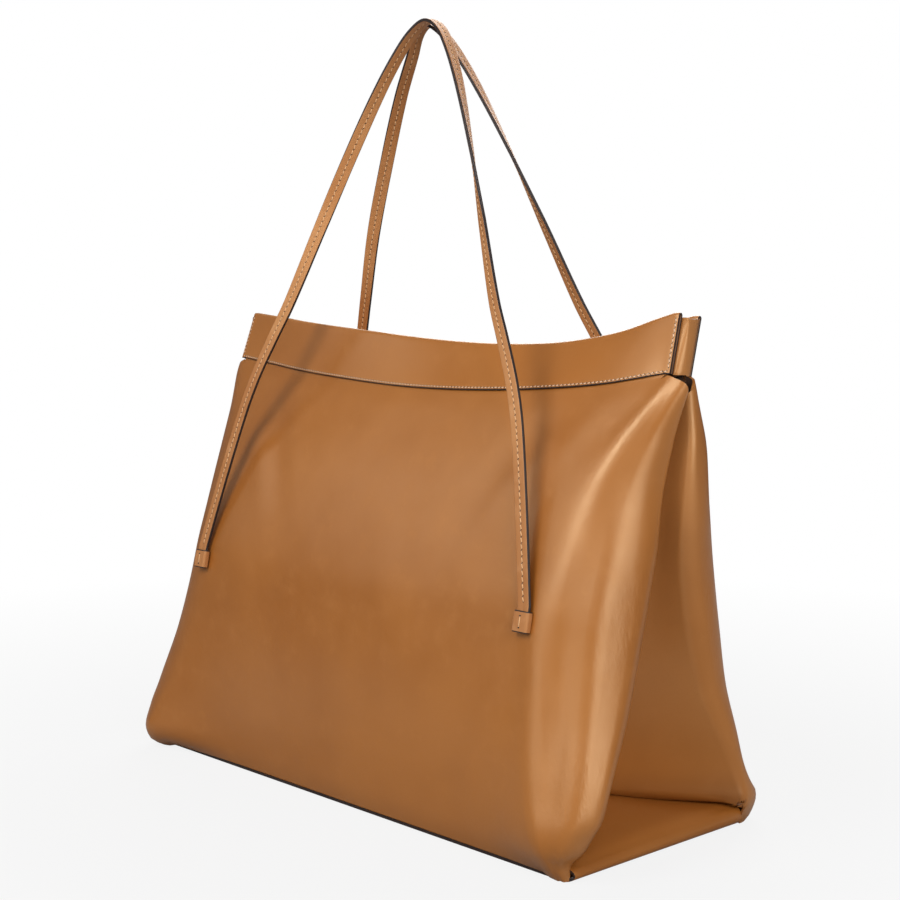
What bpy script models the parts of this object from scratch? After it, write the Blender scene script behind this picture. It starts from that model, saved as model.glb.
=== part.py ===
import math

import bmesh
import bpy
from mathutils import Matrix, Vector

# A leather shopper bag: a deep flat base, side gussets folded inwards under a nearly
# closed top, a folded collar round the mouth and two narrow shoulder straps.
# Metres, +Z up, front towards -Y, origin on the ground under the middle of the base.

# Base and body
BASE_LENGTH = 0.500
BASE_DEPTH = 0.193
BASE_LEATHER = 0.0024
BASE_FOLD_RADIUS = 0.0025
BASE_CORNER_CUT = 0.0105
BODY_LEATHER = 0.0018
BODY_BOTTOM_GAP = 0.0010
CORNER_LOBE = 0.0150
CLEARANCE = 0.0003
MERGE_DISTANCE = 0.00005
BOARD_THICKNESS = 0.0020
BOARD_END_MARGIN = 0.0090
BOARD_SIDE_MARGIN = 0.0025

# Side gussets and the triangular flaps under them
FLAP_LENGTH = 0.090
FLAP_TIP_HEIGHT = 0.024
FLAP_TIP_WIDTH = 0.004
GUSSET_DEPTH = 0.105
GUSSET_TOP_GAP = 0.0040

# Collar round the mouth
COLLAR_EDGE_HEIGHT = 0.3475
COLLAR_HEIGHT = 0.0440
COLLAR_END_DEPTH = 0.0105
COLLAR_OVERHANG = 0.0045
COLLAR_LEATHER = 0.0015
COLLAR_SLACK = 0.0006
COLLAR_SAG = 0.0185
COLLAR_BOW = 0.0180
TONGUE_HEIGHT = 0.0120
STIFFENER_MARGIN = 0.0010
STRIP_LEATHER = 0.0016
STRIP_FLANGE = 0.0120
STRIP_BULGE_TOP = 0.0172
STRIP_BULGE_BOTTOM = 0.0104
STRIP_TOP_GAP = 0.0020

# How far the top of the soft bag stands off the middle of its base
TOP_SHIFT = 0.0065
TOP_LEAN = 0.0058

# Straps and the keepers that hold their ends
STRAP_WIDTH = 0.0115
STRAP_LAYER = 0.0012
STRAP_INSET = 0.0515
KEEPER_HEIGHT = 0.0155
KEEPER_LEATHER = 0.0012
KEEPER_MIDDLE_HEIGHT = 0.1730
KEEPER_CORNER_RADIUS = 0.0008
STRAP_END_MARGIN = 0.0005
PIVOT_RISE = 0.0028
STRAP_END_RISE = 0.0009
STRAP_TAIL = 0.0010
CROWN_HEIGHT = 0.6245
CROWN_SPACING = 0.0128
CROWN_OFFSET = 0.0080

# Shares of the height between the base and the collar, then shares of a named size
HALF_LENGTH_SHARES = ((0.0, 1.0), (0.04, 1.01), (0.10, 1.025), (0.17, 1.025), (0.32, 1.02), (0.62, 1.02),
                      (0.80, 1.034), (1.0, 1.034))
CORNER_WIDTH_SHARES = ((0.0, 0.03), (0.09, 0.09), (0.17, 0.14), (0.32, 0.20), (0.50, 0.25), (0.72, 0.23),
                       (0.86, 0.15), (0.95, 0.07), (1.0, 0.03))
PANEL_DEPTH_SHARES = ((0.0, 1.0), (0.08, 1.02), (0.17, 1.02), (0.32, 0.974), (0.50, 0.872), (0.58, 0.791),
                      (0.72, 0.594), (0.81, 0.435), (0.95, 0.119), (1.0, 0.0))
CORNER_DEPTH_SHARES = ((0.0, 0.03), (0.09, 0.07), (0.17, 0.15), (0.32, 0.35), (0.50, 0.48), (0.62, 0.485),
                       (0.72, 0.46), (0.81, 0.385), (0.95, 0.13), (1.0, 0.045))
FOLD_RADIUS_SHARES = ((0.0, 0.04), (0.05, 0.09), (0.17, 0.15), (0.32, 0.19), (0.58, 0.165), (0.72, 0.10),
                      (0.81, 0.06), (0.95, 0.04), (1.0, 0.034))
LOBE_SHARES = ((0.0, 0.0), (0.02, 0.85), (0.05, 1.15), (0.09, 0.95), (0.16, 0.55), (0.30, 0.12),
               (0.45, 0.0), (1.0, 0.0))
BULGE_SHARES = ((0.0, 0.0), (0.17, 0.06), (0.32, 0.17), (0.50, 0.28), (0.72, 0.50), (0.81, 0.67),
                (0.95, 0.94), (1.0, 1.0))

# Shares of the whole height, then of the top's lean
LEAN_SHARES = ((0.0, 0.0), (0.20, -0.15), (0.45, 0.0), (0.70, 0.45), (1.0, 1.0))

# Shares along the collar, from its left end at -1 to its right end at 1
SAG_SHARES = ((-1.0, 0.0), (-0.80, 0.25), (-0.62, 0.49), (-0.33, 0.76), (-0.07, 0.95), (0.16, 1.0),
              (0.41, 0.93), (0.62, 0.76), (0.81, 0.49), (1.0, 0.0))
BOW_SHARES = ((-1.0, 0.0), (-0.70, 0.36), (-0.35, 0.74), (0.0, 0.96), (0.30, 1.0), (0.60, 0.80),
              (0.85, 0.38), (1.0, 0.0))
TILT_SHARES = ((-1.0, 0.19), (-0.60, 0.19), (-0.32, 0.26), (-0.07, 0.38), (0.17, 0.51), (0.40, 0.58),
               (0.60, 0.58), (0.80, 0.46), (0.95, 0.26), (1.0, 0.19))
BACK_TILT_SHARE = 0.5
BACK_SAG_SHARE = 1.25

# Shares of a lower corner's lobe, from the middle of a panel at 0 to its side at 1
LOBE_SPREAD_SHARES = ((0.0, 0.0), (0.50, 0.0), (0.75, 0.25), (0.90, 0.70), (1.0, 1.0))

# Shares of the height from a strap's pivot to its crown
LEG_WIDTH_SHARES = ((0.0, 1.0), (0.148, 0.923), (0.285, 0.842), (0.353, 0.785), (0.422, 0.708),
                    (0.490, 0.628), (0.627, 0.498), (0.764, 0.365), (0.880, 0.240), (0.950, 0.145),
                    (0.985, 0.075))
TWIST_SHARES = ((0.0, 0.0), (0.30, 0.01), (0.445, 0.08), (0.55, 0.17), (0.66, 0.33), (0.72, 0.48),
                (0.825, 0.73), (0.88, 0.83), (0.95, 0.94), (1.0, 1.0))

# Rows and columns of the lofted leather, as shares of the height or the width
BODY_ROW_SHARES = (0.0, 0.02, 0.045, 0.08, 0.12, 0.18, 0.26, 0.35, 0.44, 0.53, 0.62, 0.71, 0.79, 0.86, 0.92,
                   0.97, 1.0)
PANEL_COLUMNS = 20
CORNER_COLUMNS = 5
FOLD_COLUMNS = 5
GUSSET_COLUMNS = 5
COLLAR_COLUMNS = 24
ARC_STEPS = 6
STRAP_STEPS_PER_SPAN = 3

# Leather and its parts, as colour, roughness and metallic
TAN_LEATHER = ((0.45, 0.21, 0.075, 1.0), 0.42, 0.0)
STRAP_LEATHER_LOOK = ((0.42, 0.20, 0.075, 1.0), 0.50, 0.0)
SUEDE_BOARD = ((0.16, 0.10, 0.06, 1.0), 0.90, 0.0)
FIBRE_STIFFENER = ((0.30, 0.24, 0.18, 1.0), 0.80, 0.0)

# Which way each side lies along Y and each end along X
SIDES = (("front", -1), ("back", 1))
ENDS = (("left", -1), ("right", 1))

half_length = BASE_LENGTH / 2
half_depth = BASE_DEPTH / 2
collar_top_height = COLLAR_EDGE_HEIGHT + COLLAR_HEIGHT
body_bottom = BASE_LEATHER + BODY_BOTTOM_GAP
crease_depth = (BODY_LEATHER + CLEARANCE) / 2
collar_cavity = BODY_LEATHER + 2 * COLLAR_SLACK
collar_leaf_offset = (collar_cavity + COLLAR_LEATHER) / 2
strap_thickness = 2 * STRAP_LAYER + CLEARANCE
strap_spacing = BASE_LENGTH - 2 * STRAP_INSET
flap_start_height = BASE_LEATHER / 2 + 2 * BASE_FOLD_RADIUS
flap_start_width = half_depth - BASE_CORNER_CUT
seat_rise = BASE_LEATHER / 2 + CLEARANCE + BODY_LEATHER / 2
gusset_top = COLLAR_EDGE_HEIGHT - GUSSET_TOP_GAP
crown_middle_height = CROWN_HEIGHT - strap_thickness / 2


def clear_scene():
    for old in list(bpy.data.objects):
        bpy.data.objects.remove(old, do_unlink=True)


def make_collection(name):
    collection = bpy.data.collections.new(name)
    bpy.context.scene.collection.children.link(collection)
    return collection


def make_material(name, look):
    colour, roughness, metallic = look
    material = bpy.data.materials.new(name)
    material.use_nodes = True
    shader = material.node_tree.nodes["Principled BSDF"]
    shader.inputs["Base Color"].default_value = colour
    shader.inputs["Roughness"].default_value = roughness
    shader.inputs["Metallic"].default_value = metallic
    return material


def smooth_value(rows, at):
    # Value at one place of the smooth curve through rows of (place, value)
    last = len(rows) - 1
    at = min(max(at, rows[0][0]), rows[last][0])
    start = 0
    while start < last - 1 and at > rows[start + 1][0]:
        start += 1
    slopes = []
    for i in (start, start + 1):
        low, high = max(i - 1, 0), min(i + 1, last)
        slopes.append((rows[high][1] - rows[low][1]) / (rows[high][0] - rows[low][0]))
    width = rows[start + 1][0] - rows[start][0]
    t = (at - rows[start][0]) / width
    rise = rows[start + 1][1] - rows[start][1]
    a = slopes[0] * width - rise
    b = rise - slopes[1] * width
    return rows[start][1] + rise * t + t * (1 - t) * (a * (1 - t) + b * t)


def mix(a, b, share):
    return a + (b - a) * share


def leaned(x, depth, z, side):
    # A point given by its distance from the middle plane, on the front or back half
    share = z / collar_top_height
    lean = TOP_LEAN * smooth_value(LEAN_SHARES, share)
    return Vector((x + TOP_SHIFT * share, side * depth + lean, z))


def add_mesh(name, points, faces, collection, look, smooth=True):
    mesh = bpy.data.meshes.new(name)
    mesh.from_pydata([tuple(point) for point in points], [], faces)
    shell = bmesh.new()
    shell.from_mesh(mesh)
    bmesh.ops.recalc_face_normals(shell, faces=shell.faces)
    shell.to_mesh(mesh)
    shell.free()
    if smooth:
        mesh.shade_smooth()
        mesh.set_sharp_from_angle(angle=math.radians(40))
    body = bpy.data.objects.new(name, mesh)
    collection.objects.link(body)
    mesh.materials.append(make_material(name, look))
    return body


def add_solidify(body, thickness):
    shell = body.modifiers.new("leather", "SOLIDIFY")
    shell.thickness = thickness
    shell.offset = 0.0
    shell.use_even_offset = True
    return shell


def grid_faces(columns, rows, first=0):
    # Quads between columns of points that are stored one column after another
    faces = []
    for column in range(columns - 1):
        for row in range(rows - 1):
            corner = first + column * rows + row
            faces.append((corner, corner + rows, corner + rows + 1, corner + 1))
    return faces


# Shape of the body

def edge_height(across, side):
    sag = COLLAR_SAG * smooth_value(SAG_SHARES, across)
    if side > 0:
        sag *= BACK_SAG_SHARE
    return COLLAR_EDGE_HEIGHT - sag


def section(share):
    half = half_length * smooth_value(HALF_LENGTH_SHARES, share)
    corner = half_length * smooth_value(CORNER_WIDTH_SHARES, share)
    depth = mix(COLLAR_END_DEPTH, half_depth, smooth_value(PANEL_DEPTH_SHARES, share))
    corner_depth = half_depth * smooth_value(CORNER_DEPTH_SHARES, share)
    fold = half_depth * smooth_value(FOLD_RADIUS_SHARES, share)
    lobe = CORNER_LOBE * smooth_value(LOBE_SHARES, share)
    return half, corner, depth, corner_depth, fold, lobe


def panel_point(across, share, side):
    half, corner, depth, corner_depth, fold, lobe = section(share)
    bulge = COLLAR_BOW * smooth_value(BULGE_SHARES, share) * smooth_value(BOW_SHARES, across)
    bulge += lobe * smooth_value(LOBE_SPREAD_SHARES, abs(across))
    height = mix(body_bottom, edge_height(across, side), share)
    return across * (half - corner), depth + bulge, height


def height_share(height):
    return (height - body_bottom) / (COLLAR_EDGE_HEIGHT - body_bottom)


def corner_point(turn, height):
    half, corner, depth, corner_depth, fold, lobe = section(height_share(height))
    angle = turn * math.pi / 2
    y = depth + lobe - (corner_depth + lobe) * (1 - math.cos(angle))
    return half - corner * (1 - math.sin(angle)), y


def seat_height(across):
    # Lower edge of the folded gusset, from the bag's corner at 0 to the flap's tip at 1
    return seat_rise + mix(flap_start_height, FLAP_TIP_HEIGHT, across)


def crease_point(height):
    # Where the half gusset ends at this height: on the flap's edge, then in the crease
    tip_x = half_length - FLAP_LENGTH
    across = (height - seat_height(0.0)) / (seat_height(1.0) - seat_height(0.0))
    if across <= 0.0:
        return half_length, flap_start_width
    if across < 1.0:
        return mix(half_length, tip_x, across), mix(flap_start_width, crease_depth, across)
    top_x = half_length * HALF_LENGTH_SHARES[-1][1] - GUSSET_DEPTH
    rise = (height - seat_height(1.0)) / (gusset_top - seat_height(1.0))
    return mix(tip_x, top_x, rise), crease_depth


def fold_point(turn, height):
    # Along the round fold at the bag's corner, up to where it meets the flat half gusset
    half, corner, depth, corner_depth, fold, lobe = section(height_share(height))
    centre = Vector((half - fold, depth - corner_depth))
    end = Vector(crease_point(height))
    away = end - centre
    swing = math.atan2(-away.y, away.x) - math.acos(min(fold / away.length, 1.0))
    angle = turn * swing
    return centre.x + fold * math.cos(angle), centre.y - fold * math.sin(angle)


def gusset_point(across, height):
    reach = min(max((height - seat_height(0.0)) / (seat_height(1.0) - seat_height(0.0)), across), 1.0)
    share = across / reach
    start = fold_point(1.0, height)
    end = crease_point(height)
    return mix(start[0], end[0], share), mix(start[1], end[1], share)


def collar_frame(across, side):
    # Point on the collar's lower edge and the directions up and out of its leaf there
    x, depth, height = panel_point(across, 1.0, side)
    lean_in = smooth_value(TILT_SHARES, across)
    if side > 0:
        lean_in *= BACK_TILT_SHARE
    tilt = math.asin(lean_in)
    up = Vector((0.0, -math.sin(tilt), math.cos(tilt)))
    out = Vector((0.0, math.cos(tilt), math.sin(tilt)))
    return Vector((x, depth, height)), up, out


def side_columns(end):
    # Columns of points of one end of the body: corner, fold and half gusset
    columns = []
    for step in range(1, CORNER_COLUMNS + 1):
        turn = step / CORNER_COLUMNS
        columns.append((body_bottom, corner_point, turn))
    for step in range(1, FOLD_COLUMNS + 1):
        turn = step / FOLD_COLUMNS
        columns.append((mix(body_bottom, seat_height(0.0), turn), fold_point, turn))
    for step in range(1, GUSSET_COLUMNS + 1):
        across = step / GUSSET_COLUMNS
        columns.append((seat_height(across), gusset_point, across))
    made = []
    for bottom, shape, place in columns:
        column = []
        for row in BODY_ROW_SHARES:
            height = mix(bottom, gusset_top, row)
            x, depth = shape(place, height)
            column.append((end * x, depth, height))
        made.append(column)
    return made


def panel_column(across, side):
    # The panel up to the collar's edge, then its tongue between the collar's leaves
    top_share = height_share(gusset_top)
    column = [panel_point(across, row * top_share, side) for row in BODY_ROW_SHARES]
    start, up, out = collar_frame(across, side)
    for rise in (0.0, 0.5, 1.0):
        point = start + up * (TONGUE_HEIGHT * rise)
        column.append(tuple(point))
    return column


def build_body(side_name, side, collection):
    left = side_columns(-1)
    right = side_columns(1)
    panel = [panel_column(mix(-1.0, 1.0, step / PANEL_COLUMNS), side) for step in range(PANEL_COLUMNS + 1)]
    columns = left[::-1] + panel + right
    points = []
    starts = []
    for column in columns:
        starts.append(len(points))
        points.extend(leaned(x, depth, z, side) for x, depth, z in column)
    faces = []
    for i in range(len(columns) - 1):
        rows = min(len(columns[i]), len(columns[i + 1]))
        for row in range(rows - 1):
            a, b = starts[i] + row, starts[i + 1] + row
            faces.append((a, b, b + 1, a + 1))
    body = add_mesh(side_name + "_body", points, faces, collection, TAN_LEATHER)
    add_solidify(body, BODY_LEATHER)


# Base

def base_path():
    # Places along the base from its middle, round the end fold and up the flap to its tip
    cut = BASE_CORNER_CUT / 2
    path = [(0.0, BASE_LEATHER / 2, half_depth), (half_length - cut, BASE_LEATHER / 2, half_depth)]
    slope = math.atan2(FLAP_TIP_HEIGHT - flap_start_height, FLAP_LENGTH)
    centre = BASE_LEATHER / 2 + BASE_FOLD_RADIUS
    for step in range(ARC_STEPS + 1):
        angle = -math.pi / 2 + (math.pi - slope) * step / ARC_STEPS
        x = half_length + BASE_FOLD_RADIUS * math.cos(angle)
        width = mix(half_depth - cut, flap_start_width, step / ARC_STEPS)
        path.append((x, centre + BASE_FOLD_RADIUS * math.sin(angle), width))
    path.append((half_length - FLAP_LENGTH, FLAP_TIP_HEIGHT, FLAP_TIP_WIDTH / 2))
    return path


def build_base(collection):
    points = []
    for x, z, width in base_path():
        points.extend(Vector((x, y, z)) for y in (-width, 0.0, width))
    faces = grid_faces(len(points) // 3, 3)
    base = add_mesh("base_panel", points, faces, collection, TAN_LEATHER)
    mirror = base.modifiers.new("both_ends", "MIRROR")
    mirror.merge_threshold = MERGE_DISTANCE
    add_solidify(base, BASE_LEATHER)

    bpy.ops.mesh.primitive_cube_add(size=1.0)
    board = bpy.context.active_object
    board.name = "base_board"
    board.data.name = "base_board"
    board.data.materials.append(make_material("base_board", SUEDE_BOARD))
    for old in list(board.users_collection):
        old.objects.unlink(board)
    collection.objects.link(board)
    length = BASE_LENGTH - 2 * BOARD_END_MARGIN
    depth = BASE_DEPTH - BODY_LEATHER - 2 * BOARD_SIDE_MARGIN
    board.data.transform(Matrix.Diagonal((length, depth, BOARD_THICKNESS, 1.0)))
    board.location = (0.0, 0.0, BASE_LEATHER + CLEARANCE + BOARD_THICKNESS / 2)


# Collar

def flange_places():
    # Along the collar from where a strip's flange begins to the collar's end
    full = panel_point(1.0, 1.0, -1)[0]
    reach = 1.0 + COLLAR_OVERHANG / full
    return [reach - STRIP_FLANGE / full * back for back in (1.0, 0.5, 0.0)]


def collar_places():
    ends = flange_places()
    middle = [mix(-ends[0], ends[0], step / COLLAR_COLUMNS) for step in range(1, COLLAR_COLUMNS)]
    return [-place for place in ends[::-1]] + middle + ends


def on_leaf(across, rise, offset, side):
    # A point at a height up the collar and a distance off its middle surface
    start, up, out = collar_frame(across, side)
    point = start + up * rise + out * offset
    return leaned(point.x, point.y, point.z, side)


def build_collar(side_name, side, collection):
    fold_centre = COLLAR_HEIGHT - collar_leaf_offset - COLLAR_LEATHER / 2
    profile = [(0.0, collar_leaf_offset), (fold_centre / 2, collar_leaf_offset)]
    for step in range(ARC_STEPS + 1):
        angle = math.pi * step / ARC_STEPS
        rise = fold_centre + collar_leaf_offset * math.sin(angle)
        profile.append((rise, collar_leaf_offset * math.cos(angle)))
    profile += [(fold_centre / 2, -collar_leaf_offset), (0.0, -collar_leaf_offset)]
    points = []
    for across in collar_places():
        points.extend(on_leaf(across, rise, offset, side) for rise, offset in profile)
    faces = grid_faces(len(points) // len(profile), len(profile))
    collar = add_mesh(side_name + "_collar", points, faces, collection, TAN_LEATHER)
    add_solidify(collar, COLLAR_LEATHER)

    low = TONGUE_HEIGHT + STIFFENER_MARGIN
    high = fold_centre - STIFFENER_MARGIN
    points = []
    for step in range(COLLAR_COLUMNS + 1):
        across = mix(-1.0, 1.0, step / COLLAR_COLUMNS)
        points.extend(on_leaf(across, rise, 0.0, side) for rise in (low, (low + high) / 2, high))
    faces = grid_faces(COLLAR_COLUMNS + 1, 3)
    stiffener = add_mesh(side_name + "_collar_stiffener", points, faces, collection, FIBRE_STIFFENER)
    add_solidify(stiffener, BODY_LEATHER)


def build_strip(end_name, end, collection):
    # The strip that joins the front and back collars at one end of the mouth, with a flange
    # against the inside of each
    inner = collar_leaf_offset + COLLAR_LEATHER / 2 + CLEARANCE + STRIP_LEATHER / 2
    rises = [mix(0.0, COLLAR_HEIGHT - STRIP_TOP_GAP, step / 3) for step in range(4)]
    points = []
    for rise in rises:
        bulge = mix(STRIP_BULGE_BOTTOM, STRIP_BULGE_TOP, rise / COLLAR_HEIGHT)
        halves = []
        for side_name, side in SIDES:
            path = []
            for place in flange_places():
                start, up, out = collar_frame(end * place, side)
                path.append(start + up * rise - out * inner)
            edge = path[-1]
            for step in range(1, ARC_STEPS + 1):
                angle = math.pi / 2 * (1 - step / ARC_STEPS)
                x = edge.x + end * bulge * math.cos(angle)
                path.append(Vector((x, edge.y * math.sin(angle), edge.z)))
            halves.append([leaned(*point, side) for point in path])
        points.extend(halves[0] + halves[1][-2::-1])
    faces = grid_faces(len(rises), len(points) // len(rises))
    strip = add_mesh(end_name + "_bridge_strip", points, faces, collection, TAN_LEATHER)
    add_solidify(strip, STRIP_LEATHER)


# Straps

def keeper_frame(side, end):
    # Middle of a keeper's back on the panel's outer face, with the directions out and up there
    share = height_share(KEEPER_MIDDLE_HEIGHT)
    half, corner, depth, corner_depth, fold, lobe = section(share)
    across = min(strap_spacing / 2 / (half - corner), 1.0)
    step = CLEARANCE / strap_spacing
    low, here, high = [leaned(*panel_point(across, share + rise, side), side) for rise in (-step, 0.0, step)]
    up = high - low
    up.x = 0.0
    up.normalize()
    out = Vector((0.0, side * up.z, -side * up.y))
    here.x = end * strap_spacing / 2
    return here + out * (BODY_LEATHER / 2 + CLEARANCE), out, up


def strap_seat(side, end):
    # Middle of the strap's thickness where it leaves its keeper, in line with the keeper
    back, out, up = keeper_frame(side, end)
    return back + out * (KEEPER_LEATHER + CLEARANCE + strap_thickness / 2), out, up


def pivot_point(side):
    seat, out, up = strap_seat(side, 1)
    pivot = seat + up * (KEEPER_HEIGHT / 2 + PIVOT_RISE)
    return Vector((0.0, pivot.y, pivot.z))


def rounded_outline(width, height, radius):
    corners = []
    for quarter in range(4):
        centre_x = (width / 2 - radius) * (1 if quarter in (0, 3) else -1)
        centre_y = (height / 2 - radius) * (1 if quarter in (0, 1) else -1)
        for step in range(3):
            angle = math.pi / 2 * (quarter + step / 2)
            corners.append((centre_x + radius * math.cos(angle), centre_y + radius * math.sin(angle)))
    return corners


def add_outline(name, outlines, thickness, frame, collection, look):
    # Flat outlines filled and thickened along the frame's up axis
    curve = bpy.data.curves.new(name, "CURVE")
    curve.dimensions = "2D"
    curve.fill_mode = "BOTH"
    curve.extrude = thickness / 2
    for outline in outlines:
        spline = curve.splines.new("POLY")
        spline.points.add(len(outline) - 1)
        for point, (x, y) in zip(spline.points, outline):
            point.co = (x, y, 0.0, 1.0)
        spline.use_cyclic_u = True
    body = bpy.data.objects.new(name, curve)
    curve.materials.append(make_material(name, look))
    body.matrix_world = frame
    collection.objects.link(body)


def frame_matrix(origin, out, up):
    # Outline x runs sideways, outline y runs out of the panel and z runs up it
    right = out.cross(up)
    matrix = Matrix((right, out, up)).transposed().to_4x4()
    matrix.translation = origin
    return matrix


def build_keeper(side_name, side, end_name, end, collection):
    seat, out, up = strap_seat(side, end)
    hole_width = STRAP_WIDTH + 2 * CLEARANCE
    hole_depth = strap_thickness + 2 * CLEARANCE
    outer_width = hole_width + 2 * KEEPER_LEATHER
    outer = rounded_outline(outer_width, hole_depth + 2 * KEEPER_LEATHER, KEEPER_CORNER_RADIUS)
    hole = [(hole_width / 2 * a, hole_depth / 2 * b) for a, b in ((-1, -1), (-1, 1), (1, 1), (1, -1))]
    frame = frame_matrix(seat, out, up)
    name = side_name + "_" + end_name
    add_outline(name + "_keeper", [outer, hole], KEEPER_HEIGHT, frame, collection, STRAP_LEATHER_LOOK)

    low = -KEEPER_HEIGHT / 2 + STRAP_END_MARGIN
    high = KEEPER_HEIGHT / 2 + STRAP_END_RISE
    body = [(STRAP_WIDTH / 2 * a, strap_thickness / 2 * b) for a, b in ((-1, -1), (-1, 1), (1, 1), (1, -1))]
    frame = frame_matrix(seat + up * ((low + high) / 2), out, up)
    add_outline(name + "_strap_end", [body], high - low, frame, collection, STRAP_LEATHER_LOOK)


def strap_path(side):
    # Points up the left leg, over the crown and down the right leg, with the twist there
    pivot = pivot_point(side)
    crown = Vector((-side * CROWN_OFFSET, side * CROWN_SPACING / 2, crown_middle_height))
    left = []
    right = []
    for share, width in LEG_WIDTH_SHARES:
        middle = pivot.lerp(crown, share)
        middle.x = crown.x * share * share
        reach = Vector((strap_spacing / 2 * width, 0.0, 0.0))
        twist = smooth_value(TWIST_SHARES, share) * math.pi / 2
        left.append((middle - reach, twist))
        right.append((middle + reach, math.pi - twist))
    lean = (crown - pivot).normalized()
    lean.x = 0.0
    tail = lean * STRAP_TAIL
    first = left[0][0] - tail
    last = right[0][0] - tail
    return [(first, 0.0)] + left + [(crown, math.pi / 2)] + right[::-1] + [(last, math.pi)]


def smooth_route(knots):
    # Evenly cut smooth curve through the knots, each a point and a twist
    route = []
    for i in range(len(knots) - 1):
        before = knots[max(i - 1, 0)][0]
        start, end = knots[i][0], knots[i + 1][0]
        after = knots[min(i + 2, len(knots) - 1)][0]
        span = (end - start).length
        out_slope = (end - before).normalized() * span
        in_slope = (after - start).normalized() * span
        steps = STRAP_STEPS_PER_SPAN if span > STRAP_WIDTH else 1
        for step in range(steps):
            t = step / steps
            lift = (end - start) * (t * t * (3 - 2 * t))
            bend = out_slope * (t * (1 - t) * (1 - t)) - in_slope * (t * t * (1 - t))
            route.append((start + lift + bend, mix(knots[i][1], knots[i + 1][1], t)))
    route.append(knots[-1])
    return route


def ribbon(route, offset):
    # Two edges and the middle of a flat strap, at a distance off the strap's middle surface
    points = []
    last = len(route) - 1
    for i, (point, twist) in enumerate(route):
        along = (route[min(i + 1, last)][0] - route[max(i - 1, 0)][0]).normalized()
        wide = Vector((math.cos(twist), math.sin(twist), 0.0))
        wide = (wide - along * wide.dot(along)).normalized()
        normal = along.cross(wide)
        for share in (-0.5, 0.0, 0.5):
            points.append(point + normal * offset + wide * (STRAP_WIDTH * share))
    return points


def build_strap(side_name, side, collection):
    pivot = pivot_point(side)
    holder = bpy.data.objects.new(side_name + "_handle_pivot", None)
    holder.location = pivot
    holder.empty_display_size = STRAP_WIDTH
    collection.objects.link(holder)
    route = smooth_route(strap_path(side))
    layer = (STRAP_LAYER + CLEARANCE) / 2
    for layer_name, offset in (("outer", side * layer), ("lining", -side * layer)):
        points = [point - pivot for point in ribbon(route, offset)]
        faces = grid_faces(len(route), 3)
        name = side_name + "_strap_" + layer_name
        strap = add_mesh(name, points, faces, collection, STRAP_LEATHER_LOOK)
        strap.parent = holder
        add_solidify(strap, STRAP_LAYER)


def main():
    clear_scene()
    collection = make_collection("shopper_bag")
    build_base(collection)
    for side_name, side in SIDES:
        build_body(side_name, side, collection)
        build_collar(side_name, side, collection)
        build_strap(side_name, side, collection)
        for end_name, end in ENDS:
            build_keeper(side_name, side, end_name, end, collection)
    for end_name, end in ENDS:
        build_strip(end_name, end, collection)


main()
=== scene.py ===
import math

import bpy
from mathutils import Matrix, Vector, noise


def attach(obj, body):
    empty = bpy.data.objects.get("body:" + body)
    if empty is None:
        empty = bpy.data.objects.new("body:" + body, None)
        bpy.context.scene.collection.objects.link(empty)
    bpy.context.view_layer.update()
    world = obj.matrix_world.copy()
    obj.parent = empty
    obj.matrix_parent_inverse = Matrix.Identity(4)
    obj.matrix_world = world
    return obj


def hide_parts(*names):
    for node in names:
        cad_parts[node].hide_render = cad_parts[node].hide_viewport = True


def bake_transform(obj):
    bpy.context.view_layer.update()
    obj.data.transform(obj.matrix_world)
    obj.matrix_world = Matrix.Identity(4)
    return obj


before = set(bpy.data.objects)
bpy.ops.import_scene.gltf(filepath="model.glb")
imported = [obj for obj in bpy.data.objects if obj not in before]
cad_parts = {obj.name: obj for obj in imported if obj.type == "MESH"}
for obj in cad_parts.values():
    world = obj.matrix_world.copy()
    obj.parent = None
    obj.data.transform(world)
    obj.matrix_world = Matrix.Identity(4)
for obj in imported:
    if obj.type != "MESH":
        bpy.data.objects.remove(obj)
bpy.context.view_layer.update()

sides = (("front", -1), ("back", 1))
ends = (("left", -1), ("right", 1))
print("frame loaded")


# numbers

def mix(a, b, share):
    return a + (b - a) * share


def easy(share):
    share = min(max(share, 0.0), 1.0)
    return share * share * (3 - 2 * share)


def curveValue(rows, at):
    # value at one place of the smooth curve through rows of (place, value)
    last = len(rows) - 1
    at = min(max(at, rows[0][0]), rows[last][0])
    start = 0
    while start < last - 1 and at > rows[start + 1][0]:
        start += 1
    slopes = []
    for i in (start, start + 1):
        low, high = max(i - 1, 0), min(i + 1, last)
        slopes.append((rows[high][1] - rows[low][1]) / (rows[high][0] - rows[low][0]))
    width = rows[start + 1][0] - rows[start][0]
    t = (at - rows[start][0]) / width
    rise = rows[start + 1][1] - rows[start][1]
    a = slopes[0] * width - rise
    b = rise - slopes[1] * width
    return rows[start][1] + rise * t + t * (1 - t) * (a * (1 - t) + b * t)


def hump(distance, reach):
    # 1 on a line, falling softly to 0 at its reach
    return easy(1 - abs(distance) / reach)


def ramp(start, full):
    # a curve that is 0 up to its start and 1 from where it is full
    return lambda value: easy((value - start) / (full - start))


def band(middle, reach):
    return lambda value: hump(value - middle, reach)


everywhere = ramp(-1, 0)


# modelling helpers

def clearSelection():
    bpy.ops.object.select_all(action="DESELECT")


def pickOnly(piece):
    clearSelection()
    piece.select_set(True)
    bpy.context.view_layer.objects.active = piece


def applyModifier(piece, kind, **settings):
    pickOnly(piece)
    modifier = piece.modifiers.new(kind.lower(), kind)
    for key, value in settings.items():
        setattr(modifier, key, value)
    bpy.ops.object.modifier_apply(modifier=modifier.name)


def thicken(piece, leather, rim=2):
    # the hidden side gets the piece's second material, and the cut edges the one that rim counts to
    applyModifier(piece, "SOLIDIFY", thickness=leather, offset=0.0, material_offset=1,
                  material_offset_rim=rim)


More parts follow.
